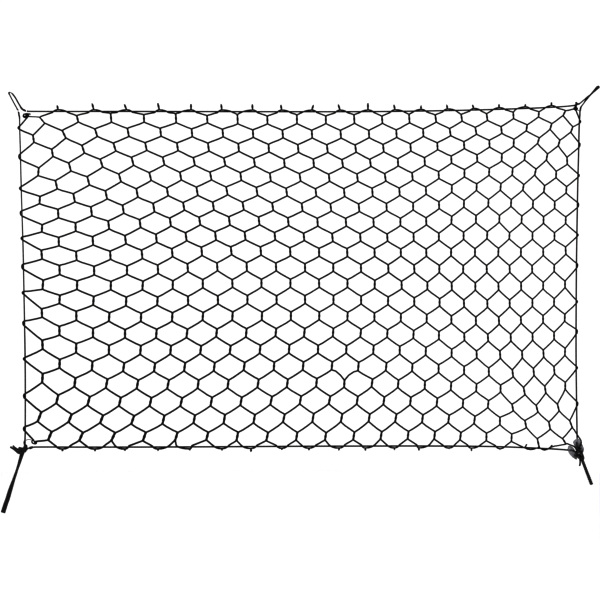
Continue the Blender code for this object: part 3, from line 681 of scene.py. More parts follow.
class Stretch:
    """A run of a twine: its points, and its radii unless the twine's own at its start serves for all."""

    def __init__(self, points, radii=None):
        self.points = points
        self.radii = radii or [twine_radius(points[0])] * len(points)


def across_net(at):
    """A place as shares of the net: from its left side, and down from its top."""
    return (at.x - NET_LEFT) / NET_WIDTH, -at.z / NET_HEIGHT


def twine_radius(at):
    """The twine's radius at a place: the net is stretched most at its top, right side and corner."""
    right, low = across_net(at)
    top = TWINE_TOP[0] + (TWINE_TOP[1] - TWINE_TOP[0]) * right
    bottom = TWINE_LOW[0] + (TWINE_LOW[1] - TWINE_LOW[0]) * right
    by_corner = max(0.0, 1 - (at - place(*THIN_CORNER)).length / THIN_REACH)
    slack = 1 + TWINE_SLACK * math.sin(math.pi * min(1.0, max(0.0, right)))
    return (top + (bottom - top) * low) * slack * (1 - THIN_SHARE * by_corner) / 2


def bar_radius(at):
    """The radius of each twine inside a bar."""
    right, low = across_net(at)
    return twine_radius(at) * BAR_PLY * (1 + BAR_SLACK * low * low * (1 - right))


def bar(half_column, row):
    """The top and bottom of a worked bar between two meshes."""
    if (half_column, row) in PULLED_BARS:
        top_across, top_down, bottom_across, bottom_down = PULLED_BARS[(half_column, row)]
        return place(top_across, top_down), place(bottom_across, bottom_down)
    centre = in_net(half_column, row)
    centre += Vector((
        STRAY[0] * uneven(half_column, row), STRAY[1] * uneven(row, half_column, 1),
        STRAY[2] * uneven(half_column, row, 2),
    ))
    fall = in_net(half_column, row + 1) - in_net(half_column, row - 1)
    lean = Vector((fall.x * BAR_LEAN, 0, fall.z)).normalized()
    down_it = turned(lean, beside(lean), math.radians(STRAY_TURN * uneven(half_column, row, 3)))
    low, right = (row + 1) / (ROWS + 1), half_column / COLUMNS
    length = BAR_LENGTH + (BAR_LENGTH_LOW - BAR_LENGTH) * low - BAR_SHORTER * right
    half = length * (1 + STRAY_LENGTH * uneven(row, half_column, 4)) / 2
    if row == 0 and half_column % 4 == 2 and half_column <= DRAWN_UP_LAST:
        centre.z += DRAWN_UP
        half += DRAWN_UP
    return centre - down_it * half, centre + down_it * half


def in_net(half_column, row):
    """The place of half column 0..COLUMNS in row -1 (the top run) to ROWS (the bottom run)."""
    return place(*(
        between(NET_ROWS, [between(NET_COLUMNS, line, half_column) for line in table], row)
        for table in (ACROSS, DOWN)
    ))


def beside(way):
    """The direction at right angles to a way, in the net's own plane."""
    return Vector((-way.z, 0, way.x))


def bar_stretch(half_column, row, hand):
    """One twine of a bar, wound once round the other. hand is -1 for the twine from the left."""
    top, bottom = bar(half_column, row)
    sideways = beside((bottom - top).normalized())
    spread = hand * 2 * twine_radius(top) * BAR_SPREAD
    points = []
    for n in range(HELIX_STEPS + 1):
        t = n / HELIX_STEPS
        points.append(top.lerp(bottom, t) + turned(sideways, BACKWARDS, TURN * BAR_TURNS * t) * spread)
    return Stretch(points, [bar_radius(top)] * len(points))


def side_stretch(run, outwards, down, half_run):
    """The outermost twine's turn round a side cord, from its front to its back."""
    points = []
    height = half_run + TURN_MORE
    swing = SHORT_SWING if half_run < SHORT_TURN else LONG_SWING
    for n in range(TURN_STEPS + 1):
        angle = math.pi * n / TURN_STEPS
        at = down + height * (2 * n / TURN_STEPS - 1)
        reach = BESIDE_CORD[outwards] * math.sin(angle) ** swing
        cord = between([p[1] for p in run], [p[0] for p in run], at)
        points.append(place(cord + outwards * reach, at, -OVER_CORD * math.cos(angle)))
    return Stretch(points)


def cord_height(run, across):
    """How far down the top or bottom run lies at a place across."""
    ordered = sorted(run, key=lambda p: p[0])
    return between([p[0] for p in ordered], [p[1] for p in ordered], across)


def round_cord(run, crossing, end, over, deep, ways):
    """A twine's points from where it crosses a cord to its own end, over and round the cord."""
    points = []
    for way, up, back in ways:
        across = crossing + (end - crossing) * way
        points.append(place(across, cord_height(run, across) + over * up, deep * back))
    return points


def top_end(root_across, tip_across, height):
    """The root and the tip of a cut end over the top run."""
    cord = cord_height(TOP_RUN, root_across)
    return place(root_across, cord - OVER_CORD), place(tip_across, cord - height)


def top_stretch(number, hand):
    """A twine from its cut end over the top cord: the left one passes behind it, the right one in front."""
    left, root_across, tip_across, height, right = TOP_ENDS[number]
    root, tip = top_end(root_across, tip_across, height)
    radius = twine_radius(root)
    spread = hand * 2 * radius * BAR_SPREAD
    points = []
    for n in range(END_STEPS + 1):
        t = n / END_STEPS
        points.append(tip.lerp(root, t) + turned(RIGHTWARDS, BACKWARDS, TURN * END_TURNS * (1 - t)) * spread)
    crossing = left if hand < 0 else right
    past = round_cord(
        TOP_RUN, crossing, root_across + spread, -OVER_CORD, -hand * OVER_CORD, OVER_AND_ROUND[::-1],
    )
    return Stretch(points + past, [radius * BAR_PLY] * len(points) + [twine_radius(point) for point in past])


def bottom_stretch(half_column, hand):
    """A twine's way past the bottom cord to its cut end: the left one in front, the right one behind."""
    if (half_column, hand) in HOOKED_ENDS:
        return Stretch(as_places(HOOKED_ENDS[(half_column, hand)]))
    left, tip_across, height, right = BOTTOM_ENDS[(half_column - 3) // 2]
    radius = twine_radius(place(tip_across, BOTTOM_DOWN))
    spread = hand * 2 * radius * BAR_SPREAD
    crossing = left if hand < 0 else right
    past = round_cord(
        BOTTOM_RUN, crossing, tip_across + spread, UNDER_CORD, hand * OVER_CORD, OVER_AND_ROUND[:-1],
    )
    across, cord = tip_across + spread * LOW_END_SPREAD, cord_height(BOTTOM_RUN, tip_across)
    drops = (UNDER_CORD, max(height, UNDER_CORD + LOW_END_LEAST))
    end = [place(across, cord + drop, hand * OVER_CORD * deep) for drop, deep in zip(drops, LOW_END_DEPTHS)]
    return Stretch(past + end, [twine_radius(point) for point in past] + [radius * BAR_PLY] * len(end))


def corner_stretch(*table):
    """A twine's own way into a corner of the net."""
    return Stretch(curve_through(as_places(table), step=2.0))


def stretch_at(half_column, row, hand):
    """What a twine does in one row: an end, a corner, a turn round a side run or its half of a bar."""
    last = COLUMNS - 1
    if row == -1:
        if half_column == 1:
            return corner_stretch(NET_UPPER_LEFT)
        if half_column == last:
            return corner_stretch(NET_UPPER_RIGHT)
        return top_stretch((half_column - 3) // 2, hand)
    if row == ROWS:
        if half_column == 1:
            return corner_stretch(NET_LOWER_LEFT[0 if hand < 0 else 1])
        if half_column == last:
            return corner_stretch(*(LOWER_RIGHT_BOTTOM_TWINE if hand < 0 else LOWER_RIGHT_SIDE_TWINE[-1:]))
        return bottom_stretch(half_column, hand)
    if half_column == 0:
        return side_stretch(LEFT_RUN[::-1], -1, *LEFT_TURNS[row // 2])
    if half_column == COLUMNS:
        if row // 2 < len(RIGHT_TURNS):
            return side_stretch(RIGHT_RUN, 1, *RIGHT_TURNS[row // 2])
        return corner_stretch(*LOWER_RIGHT_SIDE_TWINE[:-1])
    return bar_stretch(half_column, row, hand)


def sag_over(half_column, row):
    """How far a leg hangs that comes down to this place: more in lower rows, none beside a cord."""
    if (half_column, row) == SLACK_BAR:
        return SLACK
    if row in (0, ROWS):
        return 0
    low = row / ROWS
    return SAG_TOP + (SAG_LOW - SAG_TOP) * low * low


def leg(start, end, number, row, sag):
    """The free twine between two stretches: nearly straight, and hanging in a slight curve."""
    reach = end - start
    sideways = beside(reach.normalized())
    wave = LEG_WAVE * uneven(number * 1.9, row * 1.3, 5)
    near = min(0.25, BEND / reach.length)
    points, radii = [], []
    for t in (near, *LEG_WAYS, 1 - near):
        at = start + reach * t + sideways * (wave * math.sin(TURN * t))
        points.append(at - Vector((0, 0, 4 * sag * t * (1 - t))))
        radii.append(twine_radius(at))
    return Stretch(points, radii)


def net(finish):
    """Every twine of the net, each zigzagging down between two columns of bars."""
    skein = Skein()
    for number in range(COLUMNS):
        path, radii = [], []
        for row in range(-1, ROWS + 1):
            half_column = number if (number + row) % 2 == 0 else number + 1
            stretch = stretch_at(half_column, row, 1 if half_column == number else -1)
            if path:
                free = leg(path[-1], stretch.points[0], number, row, sag_over(half_column, row))
                path += free.points
                radii += free.radii
            path += stretch.points
            radii += stretch.radii
        skein.yarn(path, radii)
    return skein.made("cargo_net", finish)


# The yarns splayed at each cut end of the top and of the bottom, their length and its unevenness. At a
# yarn's root, middle and tip: how far it moves out and, after its root, along, and its radius.
TOP_FRAY, LOW_FRAY = 5, 4
FRAY_LENGTH, FRAY_UNEVEN = 1.9, 0.9
FRAY_OUT, FRAY_ALONG = (0.55, 0.25, 0.35), (0.55, 0.5)
FRAY_RADII = (0.42, 0.34, 0.16)
TOP_FRAY_FROM = 0.08            # where the frays start, as a share of the way back from the tip
LOW_FRAY_FROM = 0.4             # and in millimetres over it


def splay(skein, root, way, seed, count):
    """Fine yarns that fan out from a cut end."""
    way = way.normalized()
    wide, thin = round_way(way)
    for n in range(count):
        out = turned(wide, thin, TURN * (n + 0.5 * uneven(seed, n)) / count)
        long = FRAY_LENGTH + FRAY_UNEVEN * uneven(seed, n, 2)
        start = root + out * FRAY_OUT[0]
        middle = start + way * (long * FRAY_ALONG[0]) + out * FRAY_OUT[1]
        end = middle + way * (long * FRAY_ALONG[1]) + out * (FRAY_OUT[2] + 0.3 * uneven(n, seed, 3))
        skein.yarn([start, middle, end], FRAY_RADII, sides=5)


def cut_ends(finish):
    """The frays of all the net's cut ends."""
    skein = Skein()
    for number, row in enumerate(TOP_ENDS):
        root, tip = top_end(*row[1:4])
        splay(skein, tip - (tip - root) * TOP_FRAY_FROM, tip - root, number, TOP_FRAY)
    for number, row in enumerate(BOTTOM_ENDS):
        tip_across, height = row[1:3]
        tip = place(tip_across, cord_height(BOTTOM_RUN, tip_across) + height - LOW_FRAY_FROM)
        splay(skein, tip, Vector((0.2 * uneven(number, 9), 0, -1)), number + 40, LOW_FRAY)
    return skein.made("net_cut_ends", finish)


# ---- small knots in the net's twine

KNOT_STEPS = 40
KNOT_DEPTH = 1.15               # a knot's half depth, where its reach is 3
# Each of the net's corner knots: where its middle is, its size and turn, and the loose twines beside it.
CORNER_KNOTS = (
    ((-493.2, 7.6, -0.2), 2.7, 20, (
        ((-486.8, 5.4, -1.8), (-490.4, 4.9, -2.6), (-494.0, 4.9, -2.6), (-497.4, 5.2, -1.8),
         (-499.8, 7.2, -0.6), (-499.6, 9.8, 0.6), (-497.2, 11.0, 0.8), (-494.2, 9.8, 1.2)),
        ((-495.4, 12.8, -1.2), (-493.4, 9.6, -2.4), (-491.4, 6.6, -2.2), (-490.2, 4.2, -1.0)),
        ((-499.0, 8.6, 1.0), (-497.0, 9.2, 1.6), (-494.6, 8.6, 1.6)),
    )),
    ((493.7, -4.6, 0), 2.6, -10, (
        ((494.4, -4.0, -2.6), (494.9, -8.0, -3.8), (494.8, -12.0, -4.0), (494.5, -16.0, -3.4)),
        ((493.2, -5.2, 1.6), (494.0, -9.0, 3.1), (495.2, -12.8, 3.2), (496.2, -15.6, 1.0),
         (496.6, -13.8, -2.2)),
        ((494.6, -2.8, -1.4), (496.8, -3.4, -2.2), (497.2, -5.2, -1.8), (495.2, -6.6, -1.0)),
        ((492.8, -3.2, 1.4), (491.6, -4.6, 0.6), (492.0, -6.6, -0.6), (494.2, -6.4, -1.8)),
    )),
    ((-478.0, 597.2, 0), 1.9, 35, (
        ((-480.9, 591.8, -1.6), (-483.3, 592.4, -0.8), (-484.4, 594.4, -0.2), (-483.8, 596.6, 0.0),
         (-481.4, 598.1, -0.6), (-478.6, 597.8, -1.6)),
        ((-483.4, 589.8, 0.6), (-481.3, 592.2, 0.8), (-480.2, 594.8, 1.2), (-478.0, 597.2, 1.4)),
    )),
)
def overhand(skein, centre, size, turn, radius):
    """A tight overhand knot: the twine's centre line is a trefoil about the centre."""
    tilt = Quaternion(BACKWARDS, math.radians(turn))
    path = []
    for n in range(KNOT_STEPS):
        t = TURN * n / KNOT_STEPS
        x = math.sin(t) + 2 * math.sin(2 * t)
        z = math.cos(t) - 2 * math.cos(2 * t)
        y = -math.sin(3 * t) * KNOT_DEPTH
        path.append(centre + tilt @ (Vector((x, y, z)) * size / 3))
    skein.yarn(path, radius, closed=True)


def corner_knots(finish):
    """The three corners where the net is tied off in its own twine."""
    skein = Skein()
    for centre, size, turn, twines in CORNER_KNOTS:
        overhand(skein, place(*centre), size, turn, CORNER_TWINE / 2)
        for table in twines:
            skein.yarn(curve_through(as_places(table)), CORNER_TWINE / 2)
    return skein.made("net_corner_knots", finish)


# ---- the border cord

def border(finish):
    """The one cord round the net, closed on itself; the fourth number of each point is its thickness."""
    points = [Vector((*place(*point), thickness)) for run, thickness in CORD_RUNS for point in run]
    path = curve_through(points, closed=True, step=4.0, least=3)
    skein = Skein()
    skein.yarn([point.xyz for point in path], [point.w / 2 for point in path], sides=12, closed=True)
    item = skein.made("border_cord_plaited", finish)
    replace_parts(item, "border_cord")


# ---- the ties

# The left tie's centre line: (across, down, depth, turn of the flat braid in degrees).
LEFT_TIE = (
    (-500.6, 611.6, 0, 6), (-502.4, 617.4, 0, 20), (-506.3, 630.4, 0, 38), (-511.0, 644.8, 0, 54),
    (-517.3, 663.7, 0, 42), (-523.4, 681.7, 0, 16), (-528.3, 698, 0, 2), (-531.4, 706.5, 0, 0),
    (-536.4, 722.4, 0, 0),
)
BRAID_YARNS = 9
BRAID_LAY = 23.0                # length in which a yarn crosses the braid and comes back
BRAID_YARN, BRAID_YARN_FLAT = 0.78, 0.52        # a yarn's radius, and its depth as a share of it
BRAID_EDGE = 0.75               # the outermost yarn's centre to the braid's edge
BRAID_LIFT, BRAID_WEAVE = 0.36, 0.16            # a yarn's way off the middle, and how much that varies
BRAID_LENGTH = 115              # about, from the knot to the cut end
BRAID_FLARE, BRAID_FLARE_FROM = 0.06, 0.6       # its free end is this much wider, from this share on
CORE_INSET, CORE_FLAT = 1.2, 0.12
RIGHT_TIE_TOP = (506.0, 627.2)
RIGHT_TIE_END = (522.9, 671.3)
RIGHT_TIE_TURNS = 4.25
RIGHT_TIE_PLIES = 3
RIGHT_TIE_TAPER = 0.93          # its width at the knot, as a share of its cut end's
RIGHT_TIE_STEPS = 84
PLY_OUT, PLY_RADIUS = 0.245, 0.275              # as shares of the rope's width


def tie_frames(table, step):
    """Centres down a tie, each with its width's and depth's directions and its way from the top."""
    points = as_places(table)
    centres = curve_through(points, step=step)
    lengths = [0.0]
    for first, second in zip(points, points[1:]):
        lengths.append(lengths[-1] + (second - first).length)
    travelled, frames = 0.0, []
    for i, centre in enumerate(centres):
        if i:
            travelled += (centre - centres[i - 1]).length
        along = (centres[min(i + 1, len(centres) - 1)] - centres[max(i - 1, 0)]).normalized()
        turn = math.radians(between(lengths, [row[3] for row in table], min(travelled, lengths[-1])))
        wide = turned(*flat_way(along), turn)
        frames.append((centre, wide, along.cross(wide), travelled))
    return frames


def flat_braid(finish):
    """Nine yarns that cross from edge to edge of a flat braid, over one and under the next."""
    frames = tie_frames(LEFT_TIE, 0.9)
    skein = Skein()
    for yarn in range(BRAID_YARNS):
        path, facing = [], []
        for centre, wide, thin, travelled in frames:
            way = (travelled / BRAID_LAY + yarn / BRAID_YARNS) % 1.0
            swing = 1 - 4 * abs(way - 0.5)
            over = 1 if way < 0.5 else -1
            crossing = math.sin(TURN * (travelled / BRAID_LAY * BRAID_YARNS + yarn) * 0.5)
            edge = math.sqrt(max(0.0, 1 - swing * swing))
            free = max(0.0, travelled / BRAID_LENGTH - BRAID_FLARE_FROM) / (1 - BRAID_FLARE_FROM)
            half_width = (STRAP_WIDTH / 2 - BRAID_EDGE) * (1 + BRAID_FLARE * free)
            lift = over * (BRAID_LIFT + BRAID_WEAVE * crossing) * (0.5 + 0.5 * edge)
            path.append(centre + wide * (math.sin(swing * math.pi / 2) * half_width) + thin * lift)
            facing.append(wide)
        skein.yarn(path, BRAID_YARN, sides=6, flat=BRAID_YARN_FLAT, facing=facing, round_ends=False)
    skein.yarn(
        [row[0] for row in frames], STRAP_WIDTH / 2 - CORE_INSET, flat=CORE_FLAT,
        facing=[row[1] for row in frames], round_ends=False,
    )
    item = skein.made("tie_left_braid", finish)
    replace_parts(item, "tie_left")
    centres = [row[0] * MM for row in frames]
    length = sum((b - a).length for a, b in zip(centres, centres[1:]))


def twisted_tie(finish):
    """Plies laid round each other, tight at the knot and opening towards the cut end."""
    top, end = place(*RIGHT_TIE_TOP), place(*RIGHT_TIE_END)
    wide, thin = flat_way((end - top).normalized())
    ways = [n / RIGHT_TIE_STEPS for n in range(RIGHT_TIE_STEPS + 1)]
    skein = Skein()
    for ply in range(RIGHT_TIE_PLIES):
        path, radii = [], []
        for t in ways:
            angle = TURN * (RIGHT_TIE_TURNS * t + ply / RIGHT_TIE_PLIES)
            swell = ROPE_WIDTH * (RIGHT_TIE_TAPER + (1 - RIGHT_TIE_TAPER) * t)
            path.append(top.lerp(end, t) + turned(wide, thin, angle) * (swell * PLY_OUT))
            radii.append(swell * PLY_RADIUS)
        skein.yarn(path, radii, sides=10, round_ends=False)
    item = skein.made("tie_right_rope", finish)
    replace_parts(item, "tie_right")


# ---- the lower knots

COIL_STEPS = 14                 # points in each turn
# The coils and loose ends of the two lower knots: a coil's ends, radius, turns, the cord's radius, where
# it begins and how it tapers; then each free run's radius and route.
LEFT_COILS = (
    ((-500.8, 612.6, 0), (-494.8, 604.8, 0.2), 3.5, 2.5, 2.0, 0.1, 0.85),
    ((-508.8, 609.8, 0.4), (-503.2, 610.6, 0.0), 4.1, 2.2, 2.0, 0.55, 1.0),
    ((-488.6, 606.3, 0), (-483.2, 604.8, 0), 1.3, 2.2, 1.3, 0.2, 1.0),
)
LEFT_RUNS = (
    (1.6, ((-505.6, 609.8, 1.8), (-510.2, 608.8, 2.4), (-513.4, 606.9, 2.0), (-515.9, 605.0, 1.4),
           (-517.6, 603.4, 1.2), (-518.4, 602.2, 1.0))),
    (1.75, ((-507.4, 614.8, -2.4), (-511.2, 612.5, -2.0), (-513.9, 610.3, -1.6), (-516.7, 608.2, -1.2),
            (-519.3, 606.4, -1.0), (-522.9, 604.2, -0.8))),
    (2.1, ((-494.4, 603.6, -1.6), (-496.4, 606.2, -3.9), (-499.0, 609.6, -4.3), (-501.2, 612.8, -3.4),
           (-502.4, 616.4, -1.0))),
    (1.9, ((-511.8, 608.2, -1.0), (-511.2, 612.2, -2.6), (-508.0, 614.9, -3.0), (-504.0, 615.0, -3.0),
           (-500.6, 612.0, -2.8))),
    (1.2, ((-495.4, 600.6, 1.8), (-494.0, 602.2, 2.4), (-493.8, 606.0, 2.4))),
    (1.0, ((-498.0, 593.6, 1.2), (-498.9, 595.6, 1.4), (-498.4, 599.4, 1.6), (-497.6, 603.6, 2.2))),
)
RIGHT_COILS = (
    ((499.6, 612.0, -3.4), (503.6, 618.2, -2.4), 2.9, 2.3, 1.7, 0.3, 0.9),
    ((504.0, 620.2, -1.4), (505.0, 627.6, -0.4), 2.7, 2.2, 1.7, 0.1, 1.0),
)
RIGHT_RUNS = (
    (1.5, ((495.6, 595.2, -7.0), (495.8, 600.2, -8.2), (496.6, 606.5, -8.8), (499.0, 612.4, -7.8),
           (503.6, 617.2, -5.4))),
    (1.3, ((484.4, 609.2, -5.8), (488.8, 610.4, -7.0), (491.9, 612.0, -7.4), (495.1, 615.2, -7.0),
           (498.4, 618.8, -5.4))),
    (1.1, ((491.6, 618.2, -5.4), (493.8, 619.6, -6.4), (496.2, 621.2, -6.6), (499.6, 622.4, -5.0))),
    (1.7, ((495.6, 619.0, -5.0), (497.0, 621.4, -5.2), (499.6, 623.6, -4.6), (502.4, 624.6, -2.8))),
    (1.6, ((502.6, 606.0, -7.0), (499.6, 610.2, -8.6), (495.9, 615.2, -7.4), (497.2, 618.8, -4.4),
           (501.4, 619.4, -1.6))),
    (1.7, ((504.4, 611.6, -3.6), (505.6, 616.4, -4.4), (507.0, 620.4, -4.6), (508.0, 623.6, -4.0),
           (507.2, 627.2, -2.8), (507.2, 630.2, 0.0))),
    (1.55, ((503.4, 619.0, 0.6), (502.2, 625.0, -1.0), (502.3, 630.0, -2.0), (502.1, 634.4, -1.8),
            (501.3, 637.9, -1.6))),
)
def coil(skein, start, end, radius, turns, yarn, begin, taper):
    """Turns of a cord wound round the line from start to end."""
    axis = end - start
    wide, thin = round_way(axis.normalized())
    count = round(COIL_STEPS * turns)
    path = []
    for n in range(count + 1):
        t = n / count
        reach = radius * (1 + (taper - 1) * t)
        path.append(start + axis * t + turned(wide, thin, TURN * (turns * t + begin)) * reach)
    skein.yarn(path, yarn, sides=10)


def worked_knot(name, node, coils, runs, finish):
    """A lower knot: cord wound in coils, and its loose ends."""
    skein = Skein()
    for start, end, *sizes in coils:
        coil(skein, place(*start), place(*end), *sizes)
    for radius, table in runs:
        skein.yarn(curve_through(as_places(table)), radius, sides=10)
    item = skein.made(name, finish)
    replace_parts(item, node)


# ---- grey tape gathered into the lower right knot

# Each lobe's root and outer end, half thickness, pleats, and half widths on the way.
TAPE_LOBES = {
    "tape_up": (
        (498.9, 609.2, -4.4), (495.8, 589.0, -4.6), 2.4, 7, (2.2, 4.2, 5.6, 6.3, 7.1, 7.7, 6.3, 2.0),
    ),
    "tape_left": (
        (495.5, 626.4, -3.8), (481.4, 602.2, -3.4), 2.0, 6, (1.4, 3.6, 5.0, 5.7, 5.9, 5.6, 4.8, 2.4),
    ),
    "tape_right": (
        (506.0, 614.8, -3.6), (504.3, 597.4, -4.2), 1.8, 5, (1.2, 2.9, 3.6, 3.4, 2.8, 2.1, 1.5, 0.8),
    ),
}
TAPE_SIDES = 48
TAPE_RINGS = 40
TAPE_BOW = 0.5                  # how far a lobe bows out of its plane
TAPE_SPACING = 0.9              # under 1, the half widths stand closer towards the tip
TAPE_ROUND, TAPE_LEAST = 0.2, 0.0004            # how bluntly a lobe's ends close, and what keeps them open
# The film's own end: its route, width, half thickness, pleats and seed.
TAPE_END = ((499.1, 613.2, -8.2), (499.0, 614.9, -9.4), (499.5, 616.7, -8.4))
TAPE_END_WIDTH, TAPE_END_THICK, TAPE_END_PLEATS, TAPE_END_SEED = 4.0, 1.6, 5, 3
TAPE_END_LEAST, TAPE_END_ROUND = 0.25, 0.6      # its width at its ends, as a share, and how bluntly it grows
# How deep the pleats, the fine creases between them and the crumpling are, as shares of the thickness.
PLEAT, CREASE, CRUMPLE = 0.32, 0.12, 0.12
CREASE_WIDER = 0.03             # how far a crease moves the film's edge


def film_ring(centre, wide, thin, half_width, half_thick, pleats, t, seed):
    """One ring round a lobe of film: flat, with pleats that run along it and a crumpled edge."""
    ring = []
    drift = 0.5 * uneven(t * 2.2, seed, 7)
    for n in range(TAPE_SIDES):
        angle = TURN * n / TAPE_SIDES
        pleat = 1 - 2 * abs(math.sin(pleats * angle / 2 + drift))
        fine = 1 - 2 * abs(math.sin((2 * pleats + 1) * angle / 2 + 2.2 * t + drift))
        crush = CRUMPLE * uneven(n * 0.42, t * 9, seed)
        depth = half_thick * (1 + PLEAT * pleat + CREASE * fine + crush) * min(1, half_width / 3)
        reach = half_width * (1 + 0.5 * crush + CREASE_WIDER * fine)
        ring.append(centre + wide * (reach * math.cos(angle)) + thin * (depth * math.sin(angle)))
    return ring


def film(name, rings, finish):
    """A closed skin over rings of points, mapped by its way from the root to the tip and round it."""
    points = [point * MM for ring in rings for point in ring]
    last = len(rings) - 1
    faces, mapped = [], []
    for i in range(last):
        near, far = i * TAPE_SIDES, (i + 1) * TAPE_SIDES
        ring_faces, ring_map = band(near, far, TAPE_SIDES, i / last, (i + 1) / last)
        faces += ring_faces
        mapped += ring_map
    root, tip = range(TAPE_SIDES), range(last * TAPE_SIDES, len(points))
    faces += [tuple(reversed(root)), tuple(tip)]
    mapped += [(0.0, 0.0)] * TAPE_SIDES + [(1.0, 0.0)] * TAPE_SIDES
    return piece(name, points, faces, mapped, finish, SHARP_FILM)


def tape(name, finish):
    """One lobe of grey film, gathered at its root and puckered shut at its tip."""
    root, tip, half_thick, pleats, widths = TAPE_LOBES[name]
    start, end = place(*root), place(*tip)
    wide, thin = flat_way((end - start).normalized())
    stations = [(i / (len(widths) - 1)) ** TAPE_SPACING for i in range(len(widths))]
    rings = []
    for i in range(TAPE_RINGS + 1):
        # the rings lie close together at both ends, where the film rounds off
        t = (1 - math.cos(math.pi * i / TAPE_RINGS)) / 2
        rounding = (1 - (2 * t - 1) ** 2 + TAPE_LEAST) ** TAPE_ROUND
        half_width = between(stations, widths, t) * rounding
        centre = start.lerp(end, t) + thin * (TAPE_BOW * math.sin(TURN * t))
        rings.append(film_ring(centre, wide, thin, half_width, half_thick, pleats, t, pleats))
    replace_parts(film(name + "_film", rings, finish), name)


def tape_end(finish):
    """The film's own end, crumpled into a small wad at the front of the knot."""
    path = curve_through(as_places(TAPE_END), step=0.25)
    rings = []
    for i, centre in enumerate(path):
        t = i / (len(path) - 1)
        swell = math.sin(math.pi * t) ** TAPE_END_ROUND
        half_width = TAPE_END_WIDTH / 2 * (TAPE_END_LEAST + (1 - TAPE_END_LEAST) * swell)
        rings.append(film_ring(
            centre, RIGHTWARDS, BACKWARDS, half_width, TAPE_END_THICK, TAPE_END_PLEATS, t, TAPE_END_SEED,
        ))
    film("tape_end_film", rings, finish)


# ---- clear thread

# Each closed loop's thickness, its finish and its route.
THREAD_LOOPS = {
    "thread_upper_left": (1.5, "clear", (
        (-494.0, 4.9, -0.6), (-493.6, 2.6, -2.0), (-493.8, 0.4, -2.7), (-494.2, -2.4, -1.4),
        (-497.6, -4.2, 1.4), (-503.6, -4.4, 2.4), (-509.6, -3.8, 2.2), (-512.4, -2.0, 0.4),
        (-511.4, -0.8, -1.8), (-508.4, -0.1, -2.4), (-504.6, 0.8, -1.6), (-500.4, 3.0, 0.6),
        (-496.6, 5.6, 2.2), (-494.6, 6.2, 1.2),
    )),
    "thread_upper_right": (0.8, "smoky", (
        (495.6, -3.4, -1.2), (497.8, -2.0, -2.0), (500.4, -1.1, -1.9), (502.6, -0.7, -1.7),
        (504.3, -0.5, 0.0), (502.6, -0.7, 1.8), (500.4, -1.1, 1.6), (497.8, -2.0, 1.2), (495.4, -3.4, 0.6),
    )),
    "thread_lower_left": (0.9, "smoky", (
        (-498.6, 592.8, 0.0), (-497.2, 592.6, -1.7), (-494.8, 591.8, -1.6), (-492.4, 590.9, -0.9),
        (-490.2, 590.6, -0.5), (-487.2, 590.9, -0.9), (-484.6, 592.2, -1.8), (-482.6, 593.2, 0.0),
        (-484.6, 592.6, 1.8), (-487.4, 591.4, 1.2), (-490.4, 591.0, 0.8), (-494.8, 592.2, 1.6),
        (-497.2, 592.9, 1.6),
    )),
}
THREAD_STEP = 1.1


def thread(name, finishes):
    """A loop of thread that ties the net to the cord."""
    thickness, kind, route = THREAD_LOOPS[name]
    skein = Skein()
    path = curve_through(as_places(route), closed=True, step=THREAD_STEP)
    skein.yarn(path, thickness / 2, closed=True)
    item = skein.made(name + "_line", finishes[kind])
    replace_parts(item, name)


# ---- camera, light and floor

# Each soft light's place, size and power. They all face the same point of the net.
LIGHTS = {
    "key": ((-1.6, -2.2, 1.6), 2.2, 60),
    "fill": ((2.0, -1.8, 0.4), 2.0, 24),
    "rim": ((0.4, 2.2, 1.4), 2.0, 26),
}
LIT_POINT = Vector((0, 0, -0.3))
WORLD_WHITE, WORLD_STRENGTH = (1.0, 1.0, 1.0, 1.0), 1.05
FLOOR_RADIUS, FLOOR_HEIGHT = 9.0, -1.3
FAR_AWAY = 60                   # metres that the camera sees


def camera():
    lens = bpy.data.cameras.new("photo_camera")
    lens.sensor_width = SENSOR
    lens.lens = SENSOR * CAMERA_AWAY / PHOTO_WIDTH
    lens.clip_end = FAR_AWAY
    holder = in_scene("photo_camera", lens)
    holder.location = spot(*PHOTO_CENTRE, -CAMERA_AWAY)
    holder.rotation_euler = (math.radians(90), 0, 0)
    bpy.context.scene.camera = holder


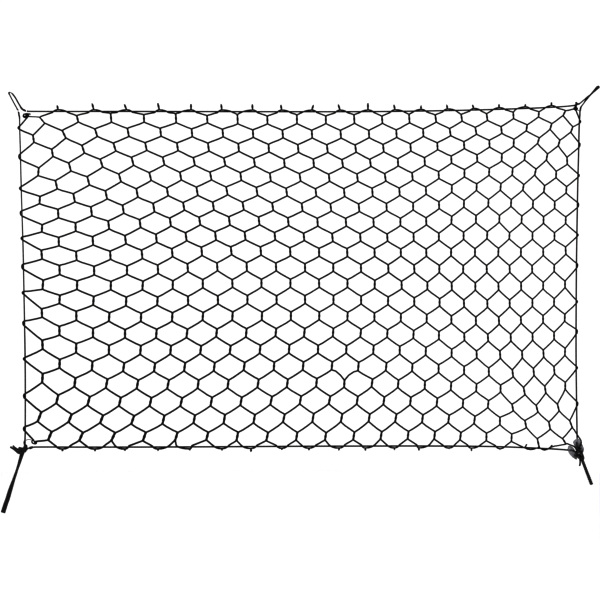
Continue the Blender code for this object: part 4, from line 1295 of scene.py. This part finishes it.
def soft_light(name):
    where, size, power = LIGHTS[name]
    data = bpy.data.lights.new(name, "AREA")
    data.shape = "DISK"
    data.size = size
    data.energy = power
    holder = in_scene(name, data)
    holder.location = where
    holder.rotation_euler = (LIT_POINT - Vector(where)).to_track_quat("-Z", "Y").to_euler()


def studio():
    """A white room: the world, the view, the floor and the lights."""
    world = bpy.data.worlds.new("white_studio")
    world.use_nodes = True
    background = world.node_tree.nodes["Background"]
    background.inputs["Color"].default_value = WORLD_WHITE
    background.inputs["Strength"].default_value = WORLD_STRENGTH
    bpy.context.scene.world = world
    # A product picture is scaled down in its finished tones, which keeps thin dark twine at its full
    # weight. Averaged light would thin it, so the view's own gamma makes up for that.
    view = bpy.context.scene.view_settings
    view.view_transform = "Standard"
    view.gamma = VIEW_GAMMA
    bpy.ops.object.select_all(action="DESELECT")
    bpy.ops.mesh.primitive_circle_add(
        vertices=96, radius=FLOOR_RADIUS, fill_type="NGON", location=(0, 0, FLOOR_HEIGHT),
    )
    floor = bpy.context.active_object
    floor.name = "studio_floor"
    paint = Finish("floor_paint", Specular_IOR_Level=0.2)
    speck = paint.grain(3.0, 2)
    colour = paint.mix(speck, FLOOR_GREY, FLOOR_PALE)
    floor.data.materials.append(paint.set(Base_Color=colour, Roughness=0.8 + speck * 0.1))
    for name in LIGHTS:
        soft_light(name)


camera()
braid = black_braid()
flat_braid(braid)
twisted_tie(braid)
twine = black_twine()
net_piece = net(twine)
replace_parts(net_piece, "net_panel")
ends_piece = cut_ends(twine)
knots_piece = corner_knots(twine)
border(black_cord())
worked_knot("tie_knot_left_turns", "tie_knot_left", LEFT_COILS, LEFT_RUNS, braid)
worked_knot("tie_knot_right_turns", "tie_knot_right", RIGHT_COILS, RIGHT_RUNS, braid)
grey_film = grey_tape()
for lobe in TAPE_LOBES:
    tape(lobe, grey_film)
tape_end(grey_film)
threads = {kind: clear_thread(kind + "_thread", *colours) for kind, colours in THREAD_COLOURS.items()}
for loop_name in THREAD_LOOPS:
    thread(loop_name, threads)
studio()
